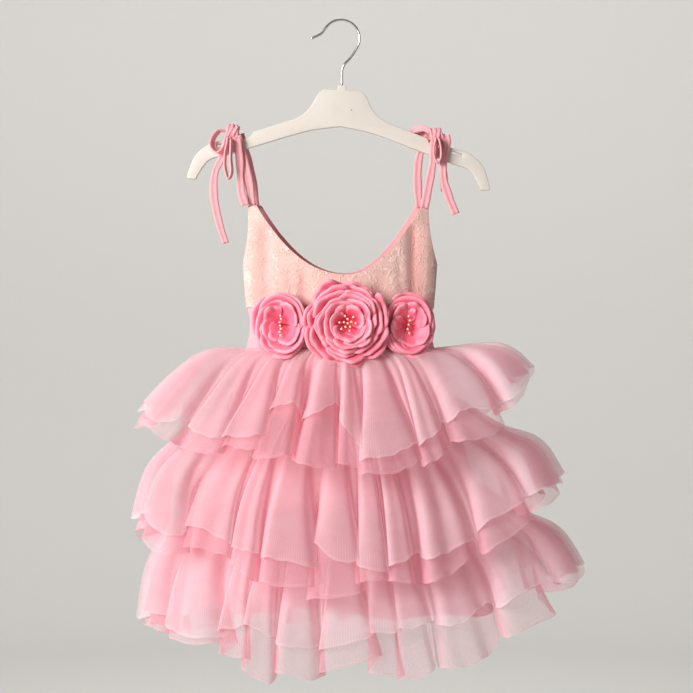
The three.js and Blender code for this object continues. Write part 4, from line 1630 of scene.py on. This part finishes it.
def build_tier(tier, layer, material, seed):
    grid, valley, steep = ruffled_layer(tier, layer, seed)
    fall = np.linspace(0, 1, TIER_ROWS)[:, None]
    density = np.clip(steep * (1.25 - 0.45 * fall), 0.5, 3.5)
    edge = 1 + 0.45 * smoothstep(fall, 0.975, 1.0)
    draft = Draft()
    draft.sheet(grid, wraps=True, layers=density * edge, valley=valley)
    piece = draft.piece(f"tulle_{tier.name}_{layer.name}", material)
    dress_with(piece, "tulle", f"{tier.name}_{layer.name}")


# The ties


def band_section(width, thickness, steps=28):
    """A soft band whose long edges roll into two thick ridges, with a shallow channel between them."""
    a = np.linspace(0, TAU, steps, endpoint=False)
    x = np.cos(a)
    ridge = 1 - 0.62 * np.exp(-((x / 0.34) ** 2))
    wide = width / 2 * np.sign(x) * np.abs(x) ** 0.8
    return np.stack([wide, thickness * 1.05 * np.sin(a) * ridge], axis=-1)


def build_tie(tie, material):
    path = smooth_curve(tie.points, TIE_STEPS_PER_SPAN)
    if tie.name.startswith("strap"):
        path[0] += (path[0] - path[1]) / np.linalg.norm(path[0] - path[1]) * SEWN_IN
        path[0, 1] *= SEWN_DEPTH
    section = band_section(max(tie.width, TIE_LEAST_WIDTH), tie.thickness)
    random = np.random.default_rng(len(tie.name) + int(abs(tie.points[0][0])))
    s = np.linspace(0, 1, len(path))
    full = 1 + 0.1 * np.sin(9 * s + random.uniform(0, TAU)) + 0.06 * np.sin(21 * s + random.uniform(0, TAU))
    rings = swept(path, section[None] * np.stack([full, 1.25 - 0.25 * full], axis=-1)[:, None], tie.across)
    run = np.concatenate([[0], np.cumsum(np.linalg.norm(np.diff(path, axis=0), axis=1))])
    places = np.stack(np.broadcast_arrays(section[None, :, 0], run[:, None]), axis=-1)
    draft = Draft()
    add_tube(draft, rings, places)
    piece = dress_with(draft.piece(f"knit_{tie.name}", material), "jersey", tie.name)


def build_knot(knot, material):
    """A knot: a round lump, with turns of the tie wound over it."""
    rows, columns = 40, 64
    lat = np.linspace(0.02, math.pi - 0.02, rows)[:, None]
    lon = np.linspace(0, TAU, columns, endpoint=False)
    across = np.sin(lat) * np.cos(lon)
    grooves = 0.07 * np.abs(np.sin(3.2 * across + 1.2 * np.cos(lat))) + 0.03 * np.sin(5 * lon + 2 * lat)
    r = 0.8 + grooves
    local = ball_points(lat, lon) * r[..., None]
    draft = Draft()
    draft.sheet(knot_place(knot, local), wraps=True)
    section = band_section(7.2, 2.0)
    for turn in KNOT_TURNS:
        a = np.linspace(-0.3, TAU - 0.1, 44)
        x = turn.x + turn.lean * np.sin(a)
        path = knot_place(knot, np.stack([x, turn.wide * np.cos(a), turn.high * np.sin(a)], axis=-1))
        run = np.concatenate([[0], np.cumsum(np.linalg.norm(np.diff(path, axis=0), axis=1))])
        places = np.stack(np.broadcast_arrays(section[None, :, 0], run[:, None]), axis=-1)
        add_tube(draft, swept(path, np.broadcast_to(section, (len(path), *section.shape)), ALONG_X), places)
    dress_with(draft.piece(f"knit_knot_{knot.side}", material), "jersey", f"bow_knot_{knot.side}")


def ball_points(lat, lon):
    """Points of a ball of radius 1, at angles down from its top and round it."""
    upright = np.broadcast_to(np.cos(lat), (len(lat), len(lon)))
    return np.stack([np.sin(lat) * np.cos(lon), np.sin(lat) * np.sin(lon), upright], axis=-1)


def knot_place(knot, local):
    """Points of the knot's own frame, in the frame of the dress."""
    sized = local * np.array(knot.radii)
    c, s = math.cos(knot.tilt), math.sin(knot.tilt)
    x = c * sized[..., 0] + s * sized[..., 2]
    z = c * sized[..., 2] - s * sized[..., 0]
    return np.stack([x, sized[..., 1], z], axis=-1) + np.array(knot.at)


# The flowers


def petal_grid(flower, whorl, index, at, half, random, reach=1.0, stand=0.0):
    """One petal: a cupped lobe, whose seared edge curls out and whose one end tucks under its neighbour."""
    base = flower.floor + index * WHORL_STEP * 0.85
    size = whorl.radius * reach * random.uniform(0.94, 1.05)
    spiral = size * random.uniform(0.07, 0.14)
    tilt = random.uniform(-1.2, 1.8)
    u = np.linspace(-1, 1, PETAL_COLUMNS)[None, :]
    v = np.linspace(0, 1, PETAL_ROWS)[:, None] ** 0.8
    ripple = random.uniform(0, TAU)
    lobe = 1 - random.uniform(0.12, 0.24) * np.abs(u + random.uniform(-0.22, 0.22)) ** 2.4
    lobe = lobe + 0.025 * np.sin(5.5 * u + ripple) + 0.008 * np.sin(14 * u + 3 * ripple)
    share = v * lobe
    frill = smoothstep(v, 0.6, 1) * (1.0 * np.sin(4 * u + ripple) + 0.45 * np.sin(10 * u + 2 * ripple))
    from_rim = size * (1 - v)
    curl = 1 - smoothstep(from_rim, 0.2, 3.2)
    radius = size * (0.07 + 0.93 * share) + spiral * u * v + 1.5 * curl
    rise = (whorl.rise + stand) * random.uniform(0.93, 1.06)
    height = base + (rise - base) * share ** (flower.cup - 0.25 * index)
    height = height + frill + tilt * u * v - 1.5 * curl * curl
    angle = at + half * u * (0.55 + 0.45 * v**0.6)
    x = flower.squash * radius * np.cos(angle)
    y = radius * np.sin(angle)
    # The rim thickens the bead and takes a painted highlight; the root takes painted shade
    edge = np.maximum(1 - smoothstep(from_rim, 1.1, 2.7), smoothstep(np.abs(u), 0.94, 1.0) * v)
    rim = np.broadcast_to(edge, x.shape)
    root = np.broadcast_to(1 - smoothstep(v, flower.deep, flower.deep + 0.5), x.shape)
    return np.stack([x, y, height], axis=-1), rim, root


def whorl_petals(flower, index):
    """The petals of a whorl: those spaced round it, and any listed."""
    whorl = flower.whorls[index]
    random = np.random.default_rng(100 * FLOWERS.index(flower) + index)
    for number in range(whorl.petals):
        at = index * 1.1 + TAU * number / whorl.petals + random.uniform(-0.16, 0.16)
        half = math.pi / whorl.petals * random.uniform(1.55, 1.9)
        yield petal_grid(flower, whorl, index, at, half, random)
    for petal in PETALS_BY_HAND:
        if (petal.flower, petal.whorl) == (flower.name, index + 1):
            at, half = math.radians(petal.at), math.radians(petal.half)
            yield petal_grid(flower, whorl, index, at, half, random, petal.reach, petal.stand)


def flower_frame(flower):
    """The flower's place on the band, and its three axes: right, up, and out."""
    width, depth = body_section(flower.z, -1)
    surface = depth * math.sqrt(1 - (flower.x / width) ** 2)
    turn = math.radians(flower.turn)
    out = np.array([math.sin(turn), -math.cos(turn), 0])
    right = np.array([math.cos(turn), math.sin(turn), 0])
    return np.array([flower.x, -surface + GAP / 2, flower.z]), right, np.array([0, 0, 1.0]), out


def stood(local, flower):
    """Points of the flower's own frame, in the frame of the dress."""
    origin, right, up, out = flower_frame(flower)
    return origin + local[..., :1] * right + local[..., 1:2] * up + local[..., 2:3] * out


def along_row(grid):
    """The length of a row of points, in metres."""
    return float(np.linalg.norm(np.diff(grid, axis=0), axis=-1).sum()) * MM


def area_of(grid):
    """The area of a grid of points, in square metres."""
    across = grid[1:, 1:] - grid[:-1, :-1]
    other = grid[1:, :-1] - grid[:-1, 1:]
    return float(np.linalg.norm(np.cross(across, other), axis=-1).sum()) / 2 * MM * MM


def build_flower(flower, material):
    """The whorls of a flower. Each is cut as one strip of petals, all their widths long."""
    for index in range(len(flower.whorls)):
        draft = Draft()
        width, length, area = 0.0, 0.0, 0.0
        for grid, rim, root in whorl_petals(flower, index):
            width += along_row(grid[-1])
            length = max(length, along_row(grid[:, PETAL_COLUMNS // 2]))
            area += area_of(grid)
            outer = stood(grid, flower)
            cloth = PETAL_CLOTH + SEARED_BEAD * rim[..., None]
            draft.wall(outer, outer - normals_of(outer, False) * cloth, rim=rim, root=root)
        name = f"{flower.name}_whorl_{index + 1}"
        piece = dress_with(draft.piece(f"satin_{name}", material), "satin", name)
        area = min(max(area, 0.3 * width * length), width * length)


def add_ball(draft, centre, radius, rows=10, columns=16):
    lat = np.linspace(0.001, math.pi - 0.001, rows)[:, None]
    lon = np.linspace(0, TAU, columns, endpoint=False)
    draft.sheet(ball_points(lat, lon) * radius + centre, wraps=True)


# The large flower's pearls: how far from its centre, and degrees from its right
PEARL_INNER = ((0, 0), (4.2, 20), (4.4, 92), (4.0, 165), (4.3, 238), (4.5, 305))
PEARL_OUTER = ((8.2, 0), (8.6, 48), (8.0, 110), (8.4, 175), (8.8, 222), (8.1, 285))


def pearl_places(flower):
    """Where a flower's pearls are: right, up and out of its centre. A small flower has them in a line."""
    if flower.name == "flower_centre":
        for r, degrees in PEARL_INNER + PEARL_OUTER:
            a = math.radians(degrees)
            yield r * math.cos(a), r * math.sin(a), 20.5 - 0.12 * r
    elif flower.name == "flower_left":
        for k in range(7):
            yield 0.8 * math.sin(k * 2.1), 9.5 - 3.4 * k, 16.5 - 0.35 * abs(k - 3)
    else:
        for k in range(5):
            yield 1.2 * math.sin(k * 1.7), 8.5 - 4.4 * k, 13.5 - 0.3 * abs(k - 2)


def build_pearls(flower, pearl, stamen):
    balls, stems = Draft(), Draft()
    radius = sizes().pearl / 2
    for number, (right, up, out) in enumerate(pearl_places(flower)):
        centre = stood(np.array([[right, up, out]]), flower)[0]
        add_ball(balls, centre, radius)
        foot = stood(np.array([[right * 0.25, up * 0.35, 7.0]]), flower)[0]
        bend = stood(np.array([[right * 0.8 + 0.4 * math.sin(number), up * 0.8, out * 0.6 + 2]]), flower)[0]
        path = smooth_curve([foot, bend, centre], 5)
        ring = [(0.35 * math.cos(a), 0.35 * math.sin(a)) for a in np.linspace(0, TAU, 6, endpoint=False)]
        add_tube(stems, swept(path, np.array(ring), (1, 0.2, 0.1)))
    dress_with(balls.piece(f"pearls_{flower.name}", pearl), "satin")
    dress_with(stems.piece(f"stamens_{flower.name}", stamen), "satin")


# The hanger


def hanger_outline():
    """The hanger's outline in its own plane, from the collar round to the other side of it."""

    def spline(points, count):
        curve = smooth_curve([(x, z, 0) for x, z in points], 8)
        return [tuple(p[:2]) for p in curve[:: max(len(curve) // count, 1)]] + [points[-1]]

    half = [(COLLAR_RADIUS, -COLLAR_HEIGHT), (COLLAR_RADIUS, 0)]
    half += spline(HANGER_NECK, 24) + list(HANGER_NOTCH) + spline(HANGER_TIP, 16)
    half += list(HANGER_TIP_FOOT) + spline(HANGER_LOWER, 24)
    mirrored = [(-x, z) for x, z in reversed(half[:-1])]
    kept = []
    for x, z in half + mirrored:
        if not kept or math.dist(kept[-1], (x, z)) > 0.4:
            kept.append((x, z))
    return kept


def slit_outline(sign):
    """A slit in the hanger's arm, with its long edges cut into short steps."""
    steps = np.linspace(0, 1, 6)[:, None]
    corners = np.array([(sign * x, z) for x, z in SLIT])[:: int(sign)]
    edges = [corners[k] + (corners[(k + 1) % 4] - corners[k]) * steps[:-1] for k in range(4)]
    return np.concatenate(edges)


def inward(loop, distance):
    """A closed outline moved to its left by distance, with its corners kept."""
    before = unit(loop - np.roll(loop, 1, axis=0))
    after = unit(np.roll(loop, -1, axis=0) - loop)
    mean = unit(before + after)
    left = np.stack([-mean[:, 1], mean[:, 0]], axis=-1)
    turn = np.clip(np.sum(mean * after, axis=1), 0.6, 1)
    return loop + left * (distance / turn)[:, None]


def signed_area(loop):
    x, z = loop.T
    return 0.5 * np.sum(x * np.roll(z, -1) - np.roll(x, -1) * z)


def hanger_loops():
    """The hanger's outline, anticlockwise, and its two slits, clockwise."""
    loops = [np.array(hanger_outline()), slit_outline(1), slit_outline(-1)]
    wanted = (1, -1, -1)
    return [loop if signed_area(loop) * way > 0 else loop[::-1] for loop, way in zip(loops, wanted)]


def rounded_rings(loop):
    """Rings of points through the hanger's thickness, from front to back, that round both its edges."""
    quarter = np.radians(np.linspace(0, 90, 5))
    insets = HANGER_ROUNDING * (1 - np.cos(quarter))
    depths = HANGER_THICKNESS / 2 - HANGER_ROUNDING * (1 - np.sin(quarter))
    back = [(inward(loop, inset), depth) for inset, depth in zip(insets, depths)]
    front = [(ring, -depth) for ring, depth in back[::-1]]
    return np.array([[(x, depth, z) for x, z in ring] for ring, depth in front + back])


def hanger_faces(stacks, starts):
    """The faces of the hanger's edges, and the triangles that fill its front and its back."""
    faces = []
    for stack, start in zip(stacks, starts):
        levels, count = stack.shape[:2]
        for level in range(levels - 1):
            for k in range(count):
                after = (k + 1) % count
                low = start + level * count
                faces.append([low + k, low + after, low + count + after, low + count + k])
    for level in (0, -1):
        rims = [stack[level] for stack in stacks]
        firsts = [start + (level % len(stack)) * stack.shape[1] for start, stack in zip(starts, stacks)]
        order = [first + k for first, rim in zip(firsts, rims) for k in range(len(rim))]
        flat = [[Vector((x, z, 0)) for x, _, z in rim] for rim in rims]
        faces += [[order[k] for k in triangle] for triangle in tessellate_polygon(flat)]
    return faces


def build_hanger(material):
    """The moulded arms: their outline and slits, with rounded edges on both faces."""
    stacks = [rounded_rings(loop) for loop in hanger_loops()]
    point_counts = [stack.shape[0] * stack.shape[1] for stack in stacks]
    starts = [sum(point_counts[:k]) for k in range(len(stacks))]
    points = np.concatenate([stack.reshape(-1, 3) for stack in stacks])
    x, depth, down = points.T
    c, s = math.cos(HANGER_TILT), math.sin(HANGER_TILT)
    placed = np.stack([c * x - s * down + HANGER_FOOT[0], depth, -s * x - c * down + HANGER_FOOT[1]], axis=-1)
    draft = Draft()
    draft.gather(placed, hanger_faces(stacks, starts))
    made = draft.piece("hanger_plate", material)
    body = bmesh.new()
    body.from_mesh(made.data)
    bmesh.ops.recalc_face_normals(body, faces=body.faces)
    body.to_mesh(made.data)
    body.free()
    made.data.set_sharp_from_angle(angle=HANGER_SHARP)
    dress_with(made, "hanger_plastic", "hanger_arms")


def build_hook(material):
    middle = HOOK_WIRE - HOOK_RADIUS
    foot = HANGER_FOOT[0]
    points = [
        (foot, HOOK_SHANK_FOOT),
        (foot, HOOK_SHANK_TOP - 10),
        (foot + 0.3, HOOK_SHANK_TOP - 3),
        (foot + 3, HOOK_SHANK_TOP + 3.5),
        (foot + 8.6, HOOK_SHANK_TOP + 9.5),
    ]
    for degrees in range(-36, HOOK_LIP_ANGLE + 1, 20):
        a = math.radians(degrees)
        points.append((HOOK_CENTRE_X + HOOK_RADIUS * math.cos(a), middle + HOOK_RADIUS * math.sin(a)))
    points += list(HOOK_LIP)
    path = smooth_curve([(x, 0, z) for x, z in points], 10)
    sides = np.linspace(0, TAU, 20, endpoint=False)
    circle = np.stack([np.cos(sides), np.sin(sides)], axis=-1)
    ends = np.minimum(np.arange(len(path)), np.arange(len(path))[::-1])
    radius = HOOK_WIRE * np.sqrt(np.clip(1 - (1 - ends / 2.0).clip(0) ** 2 * 0.75, 0.2, 1))
    rings = swept(path, circle[None] * radius[:, None, None], ALONG_Y)
    draft = Draft()
    add_tube(draft, rings)
    dress_with(draft.piece("hook_wire_bent", material), "hook_wire", "hanger_hook")


# The stage


def build_stage(material):
    """A round floor whose rim curves up, so that every view has the same plain ground."""
    flat = STAGE_RADIUS - STAGE_CURVE
    profile = [(0.5, 0), (flat, 0)]
    for degrees in range(0, 91, 6):
        a = math.radians(degrees)
        profile.append((flat + STAGE_CURVE * math.sin(a), STAGE_CURVE - STAGE_CURVE * math.cos(a)))
    profile.append((STAGE_RADIUS, STAGE_HEIGHT))
    turn = np.linspace(0, TAU, 96, endpoint=False)
    grid = np.array([[(r * math.cos(a), r * math.sin(a), FLOOR_Z + z) for a in turn] for r, z in profile])
    draft = Draft()
    draft.sheet(grid, wraps=True)
    draft.piece("stage_cove", material)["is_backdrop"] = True


def add_lamp(lamp):
    light = bpy.data.lights.new(lamp.name, "AREA")
    light.energy = lamp.power
    light.color = lamp.colour
    light.shape = "RECTANGLE"
    light.size, light.size_y = lamp.size
    made = bpy.data.objects.new(lamp.name, light)
    made.location = lamp.at
    away = np.array(lamp.at) - np.array(lamp.aim)
    tip = math.acos(away[2] / np.linalg.norm(away))
    made.rotation_euler = (tip, 0, math.atan2(away[1], away[0]) + math.pi / 2)
    bpy.context.scene.collection.objects.link(made)


def build_lights():
    world = bpy.data.worlds.new("soft sky")
    world.use_nodes = True
    background = world.node_tree.nodes["Background"]
    background.inputs["Color"].default_value = SKY_COLOUR
    background.inputs["Strength"].default_value = SKY_STRENGTH
    bpy.context.scene.world = world
    for lamp in LAMPS:
        add_lamp(lamp)


def build_camera():
    camera = bpy.data.cameras.new("camera")
    camera.sensor_width = 36
    camera.lens = 36 * CAMERA_DISTANCE / VIEW_WIDTH
    made = bpy.data.objects.new("camera", camera)
    made.location = (CAMERA_X * MM, -CAMERA_DISTANCE * MM, CAMERA_Z * MM)
    made.rotation_euler = (math.pi / 2, 0, 0)
    bpy.context.scene.collection.objects.link(made)
    bpy.context.scene.camera = made


# Operators


class DRESS_OT_camera(bpy.types.Operator):
    """Place the camera level with the middle of the dress, in front of it"""

    bl_idname = "dress.camera"
    bl_label = "Camera"

    def execute(self, context):
        build_camera()
        return {"FINISHED"}


class DRESS_OT_stage(bpy.types.Operator):
    """Build the plain stage and its soft lights"""

    bl_idname = "dress.stage"
    bl_label = "Stage"

    def execute(self, context):
        build_stage(stage_material())
        build_lights()
        return {"FINISHED"}


class DRESS_OT_hanger(bpy.types.Operator):
    """Build the hanger and its wire hook"""

    bl_idname = "dress.hanger"
    bl_label = "Hanger"

    def execute(self, context):
        build_hanger(plastic_material())
        build_hook(wire_material())
        return {"FINISHED"}


class DRESS_OT_bodice(bpy.types.Operator):
    """Build the lace panels, their lining and the waistband"""

    bl_idname = "dress.bodice"
    bl_label = "Bodice"

    def execute(self, context):
        lace = lace_material()
        lining = lining_material("bodice lining", colours().bodice_lining, srgb(248, 200, 198))
        for side in PANELS:
            bodice_piece(side, lace, lining)
        build_waistband(jersey_material("waistband jersey", colours().jersey))
        build_base_skirt(lining_material("skirt lining", colours().lining, srgb(252, 204, 212)))
        return {"FINISHED"}


class DRESS_OT_skirt(bpy.types.Operator):
    """Build the gathered tulle tiers"""

    bl_idname = "dress.skirt"
    bl_label = "Skirt"

    def execute(self, context):
        upper = tulle_material("tulle", colours().tulle, colours().tulle_deep, 0.44)
        lower = tulle_material("tulle, lower", colours().tulle_deep, colours().lining, 0.4)
        for number, tier in enumerate(TIERS):
            for layer, material in zip(LAYERS, (upper, lower)):
                build_tier(tier, layer, material, seed=11 * number + len(layer.name))
        return {"FINISHED"}


class DRESS_OT_ties(bpy.types.Operator):
    """Build the shoulder ties and their bows"""

    bl_idname = "dress.ties"
    bl_label = "Ties"

    def execute(self, context):
        knit = jersey_material("tie jersey", colours().tie)
        for tie in TIES:
            build_tie(tie, knit)
        for knot in KNOTS:
            build_knot(knot, knit)
        return {"FINISHED"}


class DRESS_OT_flowers(bpy.types.Operator):
    """Build the satin flowers with their pearls"""

    bl_idname = "dress.flowers"
    bl_label = "Flowers"

    def execute(self, context):
        satin, pearl, stamen = satin_material(), pearl_material(), stamen_material()
        for flower in FLOWERS:
            build_flower(flower, satin)
            build_pearls(flower, pearl, stamen)
        return {"FINISHED"}


OPERATORS = (
    DRESS_OT_camera,
    DRESS_OT_stage,
    DRESS_OT_hanger,
    DRESS_OT_bodice,
    DRESS_OT_skirt,
    DRESS_OT_ties,
    DRESS_OT_flowers,
)


class DRESS_PT_panel(bpy.types.Panel):
    """Sizes, colours and build buttons of the dress"""

    bl_idname = "DRESS_PT_panel"
    bl_label = "Party Dress"
    bl_space_type = "VIEW_3D"
    bl_region_type = "UI"
    bl_category = "Dress"

    def draw(self, context):
        for group in (context.scene.dress_sizes, context.scene.dress_colours):
            for key in group.__annotations__:
                self.layout.prop(group, key)
        for operator in OPERATORS:
            self.layout.operator(operator.bl_idname)


CLASSES = (DressColours, DressSizes, *OPERATORS, DRESS_PT_panel)


def register():
    for each in CLASSES:
        bpy.utils.register_class(each)
    bpy.types.Scene.dress_colours = bpy.props.PointerProperty(type=DressColours)
    bpy.types.Scene.dress_sizes = bpy.props.PointerProperty(type=DressSizes)


def unregister():
    del bpy.types.Scene.dress_sizes
    del bpy.types.Scene.dress_colours
    for each in reversed(CLASSES):
        bpy.utils.unregister_class(each)


def main():
    register()
    for operator in OPERATORS:
        category, name = operator.bl_idname.split(".")
        if "FINISHED" not in getattr(getattr(bpy.ops, category), name)():
            raise RuntimeError(f"{operator.bl_idname} did not finish")
    bpy.context.scene.cycles.transparent_max_bounces = 32
    bpy.context.scene.view_settings.view_transform = "Standard"
    boxes = {"cad": CAD_BOX, "visual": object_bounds()}
    {name: [list(corner) for corner in box] for name, box in boxes.items()}


if __name__ == "__main__":
    main()
